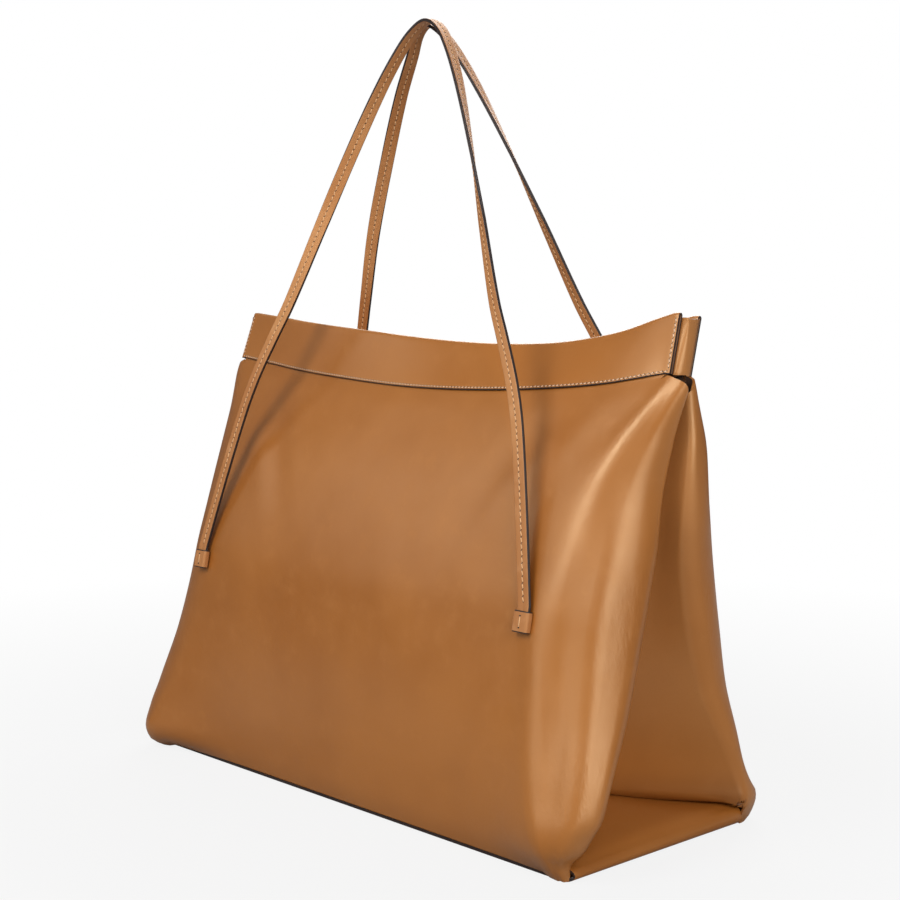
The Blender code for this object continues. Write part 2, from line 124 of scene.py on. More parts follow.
def roundEdges(piece, width, segments=2, degrees=60):
    applyModifier(piece, "BEVEL", width=width, segments=segments, limit_method="ANGLE",
                  angle_limit=math.radians(degrees))


def laySheet(name, columns, rows, place):
    # a grid primitive whose points are laid one by one along the piece's own surface
    clearSelection()
    bpy.ops.mesh.primitive_grid_add(x_subdivisions=columns, y_subdivisions=rows, size=1.0)
    piece = bpy.context.active_object
    piece.name = piece.data.name = name
    for vertex in piece.data.vertices:
        column = round((vertex.co.x + 0.5) * columns)
        row = round((vertex.co.y + 0.5) * rows)
        vertex.co = place(column, row)
    return piece


def turnOutwards(piece, near, direction):
    # the face nearest a point has to face this way, and the rest of the sheet goes with it
    piece.data.update()
    face = min(piece.data.polygons, key=lambda face: (face.center - near).length)
    if face.normal.dot(direction) < 0:
        piece.data.flip_normals()


def closeDoubles(piece):
    pickOnly(piece)
    bpy.ops.object.mode_set(mode="EDIT")
    bpy.ops.mesh.select_all(action="SELECT")
    bpy.ops.mesh.remove_doubles(threshold=0.00001)
    bpy.ops.object.mode_set(mode="OBJECT")


def deleteWhere(piece, test):
    # deletes the points that a test picks by their number
    pickOnly(piece)
    bpy.ops.object.mode_set(mode="EDIT")
    bpy.ops.mesh.select_all(action="DESELECT")
    bpy.ops.object.mode_set(mode="OBJECT")
    for vertex in piece.data.vertices:
        vertex.select = test(vertex.index)
    bpy.ops.object.mode_set(mode="EDIT")
    bpy.ops.mesh.delete(type="VERT")
    bpy.ops.object.mode_set(mode="OBJECT")


def joinPieces(name, pieces):
    clearSelection()
    for piece in pieces:
        piece.select_set(True)
    bpy.context.view_layer.objects.active = pieces[0]
    if len(pieces) > 1:
        bpy.ops.object.join()
    pieces[0].name = pieces[0].data.name = name
    return pieces[0]


def smoothShade(piece, degrees):
    pickOnly(piece)
    bpy.ops.object.shade_smooth_by_angle(angle=math.radians(degrees))


def giveMaterials(piece, *materials):
    piece.data.materials.clear()
    for material in materials:
        piece.data.materials.append(material)


def addAttribute(piece, name, values):
    attribute = piece.data.attributes.new(name, "FLOAT", "POINT")
    attribute.data.foreach_set("value", values)


def addWearAndLight(piece, **wear):
    # how much paler each point is, for wear and painted highlight, and how much darker, for grime and painted
    # shade, from functions of a point
    for name in ("rub", "grime"):
        amount = wear.get(name, lambda vertex: 0.0)
        addAttribute(piece, name, [amount(vertex) for vertex in piece.data.vertices])


# materials

class Wire:
    # a socket that Python's operators work on
    def __init__(self, nodes, socket):
        self.nodes = nodes
        self.socket = socket

    def join(self, operation, first, second):
        return self.nodes.add("Math", {"operation": operation}, {0: first, 1: second})

    def __add__(self, other):
        return self.join("ADD", self, other)

    __radd__ = __add__

    def __sub__(self, other):
        return self.join("SUBTRACT", self, other)

    def __rsub__(self, other):
        return self.join("SUBTRACT", other, self)

    def __mul__(self, other):
        return self.join("MULTIPLY", self, other)

    __rmul__ = __mul__


class NodeTree:
    # a shader tree, built node by node
    def __init__(self, tree):
        self.tree = tree

    def add(self, kind, settings=None, values=None, out=0):
        node = self.tree.nodes.new("ShaderNode" + kind)
        for key, value in (settings or {}).items():
            setattr(node, key, value)
        for key, value in (values or {}).items():
            if isinstance(value, Wire):
                self.tree.links.new(value.socket, node.inputs[key])
            else:
                node.inputs[key].default_value = value
        return Wire(self, node.outputs[out])

    def link(self, wire, node, socket):
        self.tree.links.new(wire.socket, self.tree.nodes[node].inputs[socket])


class Finish(NodeTree):
    # one material round a Principled shader
    def __init__(self, name, **constants):
        self.material = bpy.data.materials.new(name)
        self.material.use_nodes = True
        super().__init__(self.material.node_tree)
        self.shader = self.tree.nodes["Principled BSDF"]
        for key, value in constants.items():
            self.shader.inputs[key.replace("_", " ")].default_value = value

    def place(self, scale=(1.0, 1.0, 1.0)):
        where = self.add("TexCoord", out="Object")
        if scale == (1.0, 1.0, 1.0):
            return where
        return self.add("Mapping", None, {"Vector": where, "Scale": scale})

    def clouds(self, scale, detail=2.0, roughness=0.5, where=None):
        return self.add("TexNoise", None, {"Vector": where or self.place(), "Scale": scale,
                                           "Detail": detail, "Roughness": roughness})

    def stretch(self, value, low, high):
        # low to high becomes 0 to 1
        return self.add("MapRange", {"clamp": True},
                        {"Value": value, "From Min": low, "From Max": high})

    def blend(self, factor, first, second):
        return self.add("Mix", {"data_type": "RGBA"}, {0: factor, 6: first, 7: second}, out=2)

    def attribute(self, name):
        return self.add("Attribute", {"attribute_name": name}, out="Fac")

    def bump(self, height, strength, distance, below=None):
        values = {"Height": height, "Strength": strength, "Distance": distance}
        if below:
            values["Normal"] = below
        return self.add("Bump", None, values)

    def into(self, socket, wire):
        self.link(wire, self.shader.name, socket)


def colour(red, green, blue):
    # a screen colour of 0 to 255 as the linear colour that a socket takes
    made = []
    for value in (red, green, blue):
        value /= 255
        made.append(value / 12.92 if value <= 0.04045 else ((value + 0.055) / 1.055) ** 2.4)
    return (*made, 1.0)


leatherTones = {
    "mid": colour(160, 97, 38),
    "deep": colour(150, 88, 31),
    "pale": colour(170, 107, 48),
    # the pale tone of wear, also laid on as a painted highlight
    "wornAndHighlight": colour(196, 140, 88),
    # the dark tone of grime, also laid on as painted shade
    "grime": colour(116, 67, 28),
    "gloss": colour(255, 228, 186),
    "shine": 1.15,
    "roughness": 0.31,
    "driftScale": 7.0,
    "mottleScale": 60.0,
    "poreScale": 2600.0,
    "rippleScale": 24.0,
    "creaseScale": 420.0,
    "lineScale": 90.0,
    "grainSize": 0.0011,
    "grainDepth": 0.00005,
    "wornAndHighlightShare": 0.55,
    "grimeShare": 0.5,
}


def leatherFinish(name, tones, grain=1.0, rub=False):
    finish = Finish(name, Specular_IOR_Level=tones["shine"], Specular_Tint=tones["gloss"])
    drift = finish.clouds(tones["driftScale"], 3.0, 0.55)
    tone = finish.blend(finish.stretch(drift, 0.38, 0.62), tones["deep"], tones["mid"])
    mottle = finish.clouds(tones["mottleScale"], 4.0, 0.6)
    tone = finish.blend(finish.stretch(mottle, 0.55, 0.80) * 0.35, tone, tones["pale"])
    if rub:
        # paler tone for wear and for painted highlights, then darker tone for grime and for painted shade
        tone = finish.blend(finish.attribute("rub") * tones["wornAndHighlightShare"], tone, tones["wornAndHighlight"])
        tone = finish.blend(finish.attribute("grime") * tones["grimeShare"], tone, tones["grime"])
    cells = finish.add("TexVoronoi", {"feature": "SMOOTH_F1"},
                       {"Vector": finish.place(), "Scale": 1 / tones["grainSize"], "Smoothness": 0.6})
    pores = finish.clouds(tones["poreScale"], 2.0, 0.6)
    tone = finish.blend(finish.stretch(cells, 0.55, 0.95) * 0.18, tone, tones["deep"])
    finish.into("Base Color", tone)
    finish.into("Roughness", tones["roughness"] + finish.stretch(mottle, 0.3, 0.75) * 0.08
                + finish.stretch(cells, 0.3, 0.9) * 0.05)
    soft = finish.bump(finish.clouds(tones["rippleScale"], 3.0, 0.5), 0.25, 0.0016)
    if rub:
        creases = finish.clouds(tones["creaseScale"], 3.0, 0.55, finish.place((1.0, 1.0, 0.32)))
        lines = finish.clouds(tones["lineScale"], 2.0, 0.5, finish.place((1.0, 1.0, 0.2)))
        wrinkles = finish.attribute("wrinkle") * (creases * 0.6 + lines * 1.4)
        soft = finish.bump(wrinkles, 0.8, 0.0006, soft)
    finish.into("Normal", finish.bump(cells * 0.7 + pores * 0.5, 0.30 * grain, tones["grainDepth"], soft))
    return finish.material


def paintFinish(name):
    finish = Finish(name, Specular_IOR_Level=0.4)
    drift = finish.clouds(180.0, 3.0)
    finish.into("Base Color", finish.blend(drift, colour(28, 18, 16), colour(44, 30, 26)))
    finish.into("Roughness", 0.30 + finish.stretch(drift, 0.3, 0.7) * 0.12)
    finish.into("Normal", finish.bump(finish.clouds(900.0, 2.0), 0.25, 0.00005))
    return finish.material


def threadFinish(name, light, dark):
    finish = Finish(name, Specular_IOR_Level=0.3, Sheen_Weight=0.3)
    drift = finish.clouds(500.0, 2.0)
    finish.into("Base Color", finish.blend(drift, light, dark))
    finish.into("Roughness", 0.55 + drift * 0.15)
    finish.into("Normal", finish.bump(finish.clouds(5200.0, 1.0), 0.4, 0.00004))
    return finish.material


def suedeFinish(name, light, dark):
    finish = Finish(name, Specular_IOR_Level=0.2, Sheen_Weight=0.35, Sheen_Roughness=0.6)
    drift = finish.clouds(14.0, 5.0, 0.65)
    nap = finish.clouds(1400.0, 3.0, 0.7)
    tone = finish.blend(finish.stretch(drift, 0.35, 0.65), dark, light)
    finish.into("Base Color", finish.blend(finish.stretch(nap, 0.4, 0.8) * 0.3, tone, dark))
    finish.into("Roughness", 0.82 + nap * 0.12)
    finish.into("Normal", finish.bump(nap, 0.5, 0.00012))
    return finish.material


strapTones = dict(leatherTones, mid=colour(180, 124, 76), deep=colour(162, 104, 58),
                  pale=colour(202, 152, 108), grainSize=0.0008, roughness=0.42, shine=0.6)

tanLeather = leatherFinish("tanLeather", leatherTones, rub=True)
strapLeather = leatherFinish("strapLeather", strapTones, grain=1.8)
edgePaint = paintFinish("edgePaint")
paleThread = threadFinish("paleThread", colour(232, 204, 176), colour(200, 160, 122))
tanThread = threadFinish("tanThread", colour(224, 180, 132), colour(194, 146, 98))
needleHoleShade = paintFinish("needleHoleShade")
innerSuede = suedeFinish("innerSuede", colour(150, 102, 60), colour(122, 80, 44))
boardSuede = suedeFinish("boardSuede", colour(96, 72, 52), colour(72, 54, 40))
fibreBoard = suedeFinish("fibreBoard", colour(150, 128, 104), colour(120, 100, 80))
print("materials made")


# shape of the bag in metres. The rows are (place, value), with the place as a share of the height under
# the collar and the value as a share of a size, unless a line says otherwise.

bagShape = {
    "halfLength": 0.250, "halfDepth": 0.0965, "collarEdge": 0.3475, "collarHeight": 0.044,
    "bottom": 0.0034, "gussetTop": 0.3435, "endDepth": 0.0105, "sag": 0.0185, "backSag": 1.25,
    "bow": 0.018, "shift": 0.0065, "lean": 0.0058, "leather": 0.0018, "crease": 0.00085,
    "backTuck": 0.0017, "tuckAt": ramp(0.86, 1), "seatRise": 0.0024, "lipDrop": 0.0026, "lipOut": 0.0013,
    "flapLength": 0.090, "flapStart": 0.094, "gussetDepth": 0.020,
    "lobes": {("front", -1): 0.0200, ("front", 1): 0.0150, ("back", -1): 0.0150, ("back", 1): 0.0175},
}
# height of the end flap's edge in metres, from the bag's corner at 0 to the flap's tip at 1
flapRows = (
    (0, 0.0131), (0.05, 0.0146), (0.12, 0.0155), (0.28, 0.0161), (0.45, 0.0172), (0.6, 0.0188),
    (0.76, 0.021), (1, 0.0236))
# how much lower its front edge runs, in metres
frontDropRows = ((0, 0.0054), (0.28, 0.0026), (0.5, 0.001), (0.76, 0), (1, 0))
# how many metres the gusset's free top edge drops, from the collar's end at girth 1 to the crease at 4
dipRows = ((1, -0.0035), (1.4, -0.001), (1.8, 0.0022), (2.1, 0.006), (2.5, 0.0085), (3, 0.0095), (4, 0.012))
halfLengthRows = (
    (0, 1), (0.04, 1.01), (0.1, 1.025), (0.17, 1.025), (0.32, 1.02), (0.62, 1.02), (0.8, 1.034),
    (0.92, 1.046), (1, 1.062))
cornerWidthRows = (
    (0, 0.03), (0.09, 0.09), (0.17, 0.14), (0.32, 0.2), (0.5, 0.25), (0.72, 0.23), (0.86, 0.16),
    (0.95, 0.088), (1, 0.058))
panelDepthRows = (
    (0, 1), (0.08, 1.02), (0.17, 1.02), (0.32, 0.974), (0.5, 0.872), (0.58, 0.791), (0.72, 0.594),
    (0.81, 0.435), (0.95, 0.119), (1, 0))
cornerDepthRows = (
    (0, 0.03), (0.09, 0.07), (0.17, 0.15), (0.32, 0.35), (0.5, 0.48), (0.62, 0.485), (0.72, 0.46),
    (0.81, 0.385), (0.95, 0.13), (1, 0.045))
foldRows = (
    (0, 0.04), (0.05, 0.09), (0.17, 0.15), (0.32, 0.19), (0.58, 0.165), (0.72, 0.1), (0.81, 0.06),
    (0.95, 0.04), (1, 0.034))
# lobe of each bottom corner along y, as a share of its size, and its reach along x in metres
lobeRows = {
    ("front", -1): (
        (0, 0.25), (0.02, 0.95), (0.05, 1.18), (0.09, 0.95), (0.16, 0.55), (0.3, 0.12), (0.45, 0), (1, 0)),
    ("back", 1): (
        (0, 0.6), (0.01, 1), (0.019, 1.2), (0.035, 1.28), (0.061, 1.12), (0.083, 0.76), (0.117, 0.37),
        (0.145, 0.2), (0.2, 0.11), (0.33, 0), (1, 0))}
lobeRows["front", 1] = (
    (0, 0), (0.02, 0.42), (0.05, 0.85), (0.09, 0.95), (0.16, 0.6), (0.3, 0.12), (0.45, 0), (1, 0))
lobeRows["back", -1] = lobeRows["front", -1]
reachRows = {
    ("front", -1): (
        (0, 0.002), (0.02, 0.006), (0.05, 0.007), (0.09, 0.0057), (0.16, 0.0033), (0.3, 0.0007), (0.45, 0),
        (0.9, 0.0005), (0.955, -0.0003), (0.98, -0.0016), (1, -0.0038)),
    ("front", 1): (
        (0, -0.002), (0.027, -0.003), (0.054, 0.0042), (0.092, 0.0088), (0.118, 0.0125), (0.172, 0.0135),
        (0.24, 0.012), (0.32, 0.0095), (0.4, 0.007), (0.47, 0.005), (0.56, 0.0036), (0.638, 0.0014),
        (0.684, -0.0018), (0.73, -0.0046), (0.77, -0.0058), (0.81, -0.005), (0.84, -0.0036),
        (0.88, -0.0016), (0.95, 0.003), (1, 0.0048)),
    ("back", 1): (
        (0, -0.001), (0.019, 0.0015), (0.035, 0.0045), (0.061, 0.0052), (0.083, 0.002), (0.117, -0.001),
        (0.145, -0.002), (0.2, -0.0025), (0.313, -0.0034), (0.452, 0), (0.586, 0.0023), (0.717, 0.006),
        (0.845, 0.0055), (0.906, 0.0027), (1, -0.004))}
reachRows["back", -1] = reachRows["front", -1]
bulgeRows = (
    (0, 0), (0.17, 0.06), (0.32, 0.17), (0.5, 0.28), (0.72, 0.5), (0.81, 0.67), (0.95, 0.94), (1, 1))
leanRows = ((0, 0), (0.2, -0.15), (0.45, 0), (0.7, 0.45), (1, 1))
# along the collar, from its left end at -1 to its right end at 1
sagRows = (
    (-1, 0), (-0.8, 0.25), (-0.62, 0.49), (-0.33, 0.76), (-0.07, 0.95), (0.16, 1), (0.41, 0.93),
    (0.62, 0.76), (0.81, 0.49), (1, 0))
bowRows = ((-1, 0), (-0.7, 0.36), (-0.35, 0.74), (0, 0.96), (0.3, 1), (0.6, 0.8), (0.85, 0.38), (1, 0))
tiltRows = (
    (-1, 0.31), (-0.6, 0.21), (-0.32, 0.26), (-0.07, 0.38), (0.17, 0.51), (0.4, 0.58), (0.6, 0.58),
    (0.8, 0.46), (0.95, 0.26), (1, 0.19))
backDropRows = ((-1, 0.0065), (-0.6, 0.0045), (0, 0.0022), (1, 0.0022))
backTiltRows = ((-1, -0.05), (-0.6, 0.1), (-0.07, 0.19), (0.4, 0.29), (0.7, 0.2), (0.9, -0.06), (1, -0.2))
lobeSpreadRows = ((0, 0), (0.5, 0), (0.75, 0.25), (0.9, 0.7), (1, 1))


def leaned(x, depth, z, side):
    share = z / (bagShape["collarEdge"] + bagShape["collarHeight"])
    lean = bagShape["lean"] * curveValue(leanRows, share)
    return Vector((x + bagShape["shift"] * share, side * depth + lean, z))


def edgeHeight(across, side):
    sag = bagShape["sag"] * curveValue(sagRows, across)
    if side > 0:
        sag = sag * bagShape["backSag"] + curveValue(backDropRows, across)
    return bagShape["collarEdge"] - sag


def heightShare(height):
    return (height - bagShape["bottom"]) / (bagShape["collarEdge"] - bagShape["bottom"])


def cornerKey(side, end):
    return "front" if side < 0 else "back", end


def cornerLobe(share, side, end):
    corner = cornerKey(side, end)
    return bagShape["lobes"][corner] * curveValue(lobeRows[corner], share)


def cornerReach(share, side, end):
    # how far the corner stands out along x, and in towards the middle plane
    tuck = bagShape["backTuck"] * bagShape["tuckAt"](share) if side > 0 else 0.0
    return curveValue(reachRows[cornerKey(side, end)], share), tuck


def section(share):
    half = bagShape["halfLength"] * curveValue(halfLengthRows, share)
    corner = bagShape["halfLength"] * curveValue(cornerWidthRows, share)
    depth = mix(bagShape["endDepth"], bagShape["halfDepth"], curveValue(panelDepthRows, share))
    cornerDepth = bagShape["halfDepth"] * curveValue(cornerDepthRows, share)
    fold = bagShape["halfDepth"] * curveValue(foldRows, share)
    return half, corner, depth, cornerDepth, fold


def panelPoint(across, share, side):
    half, corner, depth, cornerDepth, fold = section(share)
    bulge = bagShape["bow"] * curveValue(bulgeRows, share) * curveValue(bowRows, across)
    lobe = cornerLobe(share, side, 1 if across > 0 else -1)
    bulge += lobe * curveValue(lobeSpreadRows, abs(across))
    return across * (half - corner), depth + bulge, mix(bagShape["bottom"], edgeHeight(across, side), share)


def cornerPoint(turn, height, side, end):
    share = heightShare(height)
    half, corner, depth, cornerDepth, fold = section(share)
    lobe = cornerLobe(share, side, end)
    reach, tuck = cornerReach(share, side, end)
    angle = turn * math.pi / 2
    x = half - corner + (corner + reach) * math.sin(angle)
    return x, depth + lobe - (cornerDepth + lobe + tuck) * (1 - math.cos(angle))


def seatHeight(across, side):
    drop = curveValue(frontDropRows, across) if side < 0 else 0.0
    return curveValue(flapRows, across) - drop + bagShape["seatRise"]


def seatShare(height, side):
    # how far along the flap's edge the seat has this height, found by halving
    low, high = 0.0, 1.0
    for halving in range(20):
        middle = (low + high) / 2
        low, high = (middle, high) if seatHeight(middle, side) < height else (low, middle)
    return middle


def creasePoint(height, side):
    # where the half gusset ends: on the flap's edge, then in the crease
    tip = bagShape["halfLength"] - bagShape["flapLength"]
    across = seatShare(height, side)
    if height <= seatHeight(0, side):
        return bagShape["halfLength"], bagShape["flapStart"]
    if height < seatHeight(1, side):
        return (mix(bagShape["halfLength"], tip, across),
                mix(bagShape["flapStart"], bagShape["crease"], across))
    top = bagShape["halfLength"] * halfLengthRows[-1][1] - bagShape["gussetDepth"]
    rise = (height - seatHeight(1, side)) / (bagShape["gussetTop"] - seatHeight(1, side))
    return mix(tip, top, rise), bagShape["crease"]


def foldPoint(turn, height, side, end):
    share = heightShare(height)
    half, corner, depth, cornerDepth, fold = section(share)
    reach, tuck = cornerReach(share, side, end)
    centre = Vector((half + reach - fold, depth - cornerDepth - tuck))
    away = Vector(creasePoint(height, side)) - centre
    swing = math.atan2(-away.y, away.x) - math.acos(min(fold / away.length, 1))
    return centre.x + fold * math.cos(turn * swing), centre.y - fold * math.sin(turn * swing)


def gussetPoint(across, height, side, end):
    reach = max(seatShare(height, side), across)
    start, stop = foldPoint(1, height, side, end), creasePoint(height, side)
    return mix(start[0], stop[0], across / reach), mix(start[1], stop[1], across / reach)


def collarFrame(across, side):
    # a point of the collar's lower edge, with the directions up and out of its leaf
    x, depth, height = panelPoint(across, 1, side)
    tilt = math.asin(curveValue(backTiltRows if side > 0 else tiltRows, across))
    up = Vector((0, -math.sin(tilt), math.cos(tilt)))
    out = Vector((0, math.cos(tilt), math.sin(tilt)))
    return Vector((x, depth, height)), up, out


# body: two half shells of soft leather that meet in the creases of the side gussets

bodyCuts = {"panel": 64, "corner": 10, "fold": 10, "gusset": 12, "rows": 64, "crowding": 0.45,
            "tongue": 3, "tongueHeight": 0.012}

# soft ridges and hollows as (side, girth and height at the top, at the bottom, girth reach, metres).
# Girth runs from 0 in a panel's middle over 1 at its side and 2 at its corner to 4 in the gusset.
softFolds = (
    ("front", (1.18, 0.345), (1.40, 0.225), 0.20, 0.0010),
    ("front", (1.40, 0.335), (1.60, 0.215), 0.16, -0.0008),
    ("front", (1.66, 0.335), (1.90, 0.215), 0.18, 0.0010),
    ("front", (0.86, 0.335), (0.62, 0.215), 0.20, 0.0016),
    ("front", (0.72, 0.315), (0.50, 0.200), 0.16, -0.0020),
    ("front", (-0.72, 0.315), (-0.60, 0.220), 0.14, -0.0014),
    ("front", (-0.98, 0.330), (-0.70, 0.230), 0.16, 0.0012),
    ("front", (1.26, 0.240), (0.96, 0.012), 0.18, 0.0024),
    ("front", (1.44, 0.250), (1.24, 0.012), 0.15, -0.0020),
    ("front", (1.60, 0.260), (1.54, 0.010), 0.16, 0.0022),
    ("front", (1.82, 0.250), (1.84, 0.010), 0.16, -0.0014),
    ("front", (0.30, 0.240), (0.10, 0.060), 0.45, 0.0018),
    ("back", (0.96, 0.330), (0.66, 0.220), 0.20, 0.0018),
    ("back", (1.58, 0.340), (1.95, 0.230), 0.20, 0.0014),
    ("back", (-0.96, 0.330), (-0.62, 0.215), 0.20, 0.0018),
    ("back", (0.25, 0.290), (0.10, 0.120), 0.40, 0.0014),
    ("back", (3.30, 0.300), (3.40, 0.100), 0.50, -0.0020),
)
# how far a fold fades past its ends, and small waves as (metres, density, shift), which fade at the seams
ripples = {"foldFade": 0.75, "waves": ((0.0011, 9, (3.1, 7.7, 1.3)), (0.0004, 26, (0, 0, 0))),
           "base": ramp(0, 0.05), "collar": ramp(0.345, 0.305), "crease": ramp(3.9, 3.5)}
# where the lower edge hangs over the base's edge: round each corner, in the lowest rows
lipSpans = {"side": ramp(0.945, 0.98), "fold": ramp(2.6, 2.0), "height": ramp(0.035, 0)}
# wear, painted highlight and painted shade as (amount, end or 0 for both ends, along the girth, up the
# height)
shellWearAndLight = {
    # rub: paler at the corner folds, for wear and a painted highlight; paler over the gusset above its
    # bottom, painted light; paler near the bottom of the rolls
    "rub": ((0.8, 0, band(2.5, 0.9), ramp(0.16, 0.31)), (0.5, 0, ramp(2.6, 3.0), ramp(0.03, 0.13)),
            (0.5, 0, band(1.9, 0.6), ramp(0.09, 0.01))),
    # grime: darker towards the bottom edge; painted shade low in the gusset above the base's flap; painted
    # shade over the left end
    "grime": ((0.7, 0, everywhere, ramp(0.022, 0.002)), (1.0, 0, ramp(2.5, 2.9), ramp(0.05, 0.02)),
              (0.5, -1, band(1.5, 1.1), everywhere)),
    "wrinkle": ((1.0, 0, band(1.6, 0.8), ramp(0.13, 0.05)), (0.6, 0, band(1.9, 0.7), band(0.17, 0.08)),
                (0.5, 0, band(1.3, 0.6), ramp(0.27, 0.32)))}


def softness(sideName, girth, height, point):
    # how far a point of the shell stands off its lofted surface
    rise = 0.0
    for name, (topGirth, top), (lowGirth, low), reach, amount in softFolds:
        if name == sideName:
            share = (top - height) / (top - low)
            fade = hump(share - 0.5, ripples["foldFade"])
            rise += amount * fade * hump(girth - mix(topGirth, lowGirth, share), reach)
    free = ripples["base"](height) * ripples["collar"](height) * ripples["crease"](abs(girth))
    for amount, density, shift in ripples["waves"]:
        rise += amount * free * noise.noise(point * density + Vector(shift))
    return rise


def bodyColumns():
    # every column of the shell as (kind, end, place), from the left crease to the right one
    def sideColumns(end):
        made = []
        for kind in ("corner", "fold", "gusset"):
            count = bodyCuts[kind]
            made += [(kind, end, (step + 1) / count) for step in range(count)]
        return made
    count = bodyCuts["panel"]
    panel = [("panel", 0, mix(-1, 1, step / count)) for step in range(count + 1)]
    return sideColumns(-1)[::-1] + panel + sideColumns(1)


def girthOf(kind, end, place):
    return place if kind == "panel" else end * (place + {"corner": 1, "fold": 2, "gusset": 3}[kind])


def shellPoint(kind, end, place, row, side):
    rows = bodyCuts["rows"]
    share = min(row / rows, 1.0)
    share = mix(share, easy(share), bodyCuts["crowding"])
    girth = abs(girthOf(kind, end, place))
    lip = lipSpans["side"](girth) * lipSpans["fold"](girth) * lipSpans["height"](share)
    lipOut, lipDrop = bagShape["lipOut"] * lip, bagShape["lipDrop"] * lip
    if kind == "panel":
        if row > rows:
            start, up, out = collarFrame(place, side)
            rise = bodyCuts["tongueHeight"] * (row - rows - 1) / (bodyCuts["tongue"] - 1)
            return tuple(start + up * rise)
        x, depth, height = panelPoint(place, share * heightShare(bagShape["gussetTop"]), side)
        return x, depth + lipOut, height - lipDrop
    low = {"corner": bagShape["bottom"], "fold": mix(bagShape["bottom"], seatHeight(0, side), easy(place)),
           "gusset": seatHeight(place, side)}[kind]
    height = mix(low, bagShape["gussetTop"] - curveValue(dipRows, girth), share)
    if kind == "corner":
        x, depth = cornerPoint(place, height, side, end)
        x += lipOut * place
    elif kind == "fold":
        x, depth = foldPoint(place, height, side, end)
    else:
        x, depth = gussetPoint(place, height, side, end)
    return end * x, depth + lipOut, height - lipDrop


def wearAndLightAt(name, girth, height):
    # kinds of rub and painted highlight add up, as do kinds of wrinkle, and of grime and painted shade the
    # strongest shows
    amounts = []
    for amount, end, across, up in shellWearAndLight[name]:
        amount *= easy(end * girth) if end else 1
        amounts.append(amount * across(abs(girth)) * up(height))
    return max(amounts) if name == "grime" else sum(amounts)


def buildShell(sideName, side):
    columns = bodyColumns()
    count = len(columns)
    shell = laySheet(sideName + "Shell", count - 1, bodyCuts["rows"] + bodyCuts["tongue"],
                     lambda column, row: leaned(*shellPoint(*columns[column], row, side), side))
    turnOutwards(shell, Vector((0, side * 0.09, 0.15)), Vector((0, side, 0)))
    girths = [girthOf(*columns[vertex.index % count]) for vertex in shell.data.vertices]
    heights = [vertex.co.z for vertex in shell.data.vertices]
    for name in shellWearAndLight:
        addAttribute(shell, name, [wearAndLightAt(name, girth, height) for girth, height in zip(girths, heights)])
    moved = [vertex.co + vertex.normal * softness(sideName, girth, vertex.co.z, vertex.co)
             for vertex, girth in zip(shell.data.vertices, girths)]
    for vertex, place in zip(shell.data.vertices, moved):
        vertex.co = place
    # the tongue under the collar is there on the panel only
    deleteWhere(shell, lambda index: columns[index % count][0] != "panel"
                and index // count > bodyCuts["rows"])
    giveMaterials(shell, tanLeather, innerSuede)
    thicken(shell, bagShape["leather"], rim=0)
    smoothShade(shell, 50)
    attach(shell, "bag")
    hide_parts(sideName + "_body")


for sideName, side in sides:
    buildShell(sideName, side)
print("body shells laid")


# base: a stiff bottom that folds up at each end into a pointed flap

baseSizes = {"leather": 0.0024, "foldRadius": 0.0061, "foldReach": 0.0025, "cut": 0.0010,
             "tipWidth": 0.004, "swell": 0.0026, "edgeRound": 0.0006, "grime": 0.25,
             "grimeAt": ramp(0.012, 0), "across": 24, "arc": 14, "flap": 30, "flat": 30}


def basePath():
    # places along the base as (x, height, half width): flat, round the end fold, up the flap
    cut, radius = baseSizes["cut"], baseSizes["foldRadius"]
    middle = baseSizes["leather"] / 2
    full, depth = bagShape["halfLength"], bagShape["halfDepth"]
    foldX = full + baseSizes["foldReach"] - radius
    path = [(foldX * step / baseSizes["flat"], middle, depth) for step in range(baseSizes["flat"])]
    slope = math.atan2(flapRows[1][1] - flapRows[0][1], flapRows[1][0] * bagShape["flapLength"])
    for step in range(baseSizes["arc"] + 1):
        share = step / baseSizes["arc"]
        angle = -math.pi / 2 + (math.pi - slope) * share
        path.append((foldX + radius * math.cos(angle), middle + radius + radius * math.sin(angle),
                     mix(depth, bagShape["flapStart"], easy(share * 2)) - cut * math.sin(math.pi * share)))
    x = path[-1][0]
    for step in range(1, baseSizes["flap"] + 1):
        share = step / baseSizes["flap"]
        path.append((mix(x, full - bagShape["flapLength"], share), curveValue(flapRows, share),
                     mix(bagShape["flapStart"], baseSizes["tipWidth"] / 2, share)))
    return path


def buildBase():
    path = basePath()
    last = len(path) - 1
    flapFrom = last - baseSizes["flap"]

    def basePoint(column, row):
        i = abs(column - last)
        x, z, width = path[i]
        across = row / baseSizes["across"] * 2 - 1
        swell = 0.0
        if i > flapFrom:
            along = (i - flapFrom) / baseSizes["flap"]
            swell = baseSizes["swell"] * math.sin(math.pi * along) * (1 - across * across)
            swell -= curveValue(frontDropRows, along) * (1 - across) / 2
        elif z > baseSizes["leather"] / 2:
            top = path[flapFrom][1] - baseSizes["leather"] / 2
            swell -= frontDropRows[0][1] * (1 - across) / 2 * (z - baseSizes["leather"] / 2) / top
        return Vector((x if column >= last else -x, across * width, z + swell))

    base = laySheet("basePanel", 2 * last, baseSizes["across"], basePoint)
    turnOutwards(base, Vector((0, 0, 0)), Vector((0, 0, -1)))
    # the base is darker towards its underside
    addWearAndLight(base, grime=lambda vertex: baseSizes["grime"] * baseSizes["grimeAt"](vertex.co.z))
    giveMaterials(base, tanLeather, tanLeather, edgePaint)
    thicken(base, baseSizes["leather"])
    roundEdges(base, baseSizes["edgeRound"], segments=3, degrees=50)
    smoothShade(base, 60)
    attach(base, "bag")
    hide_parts("base_panel")


buildBase()
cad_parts["base_board"].material_slots[0].material = boardSuede
print("base folded")


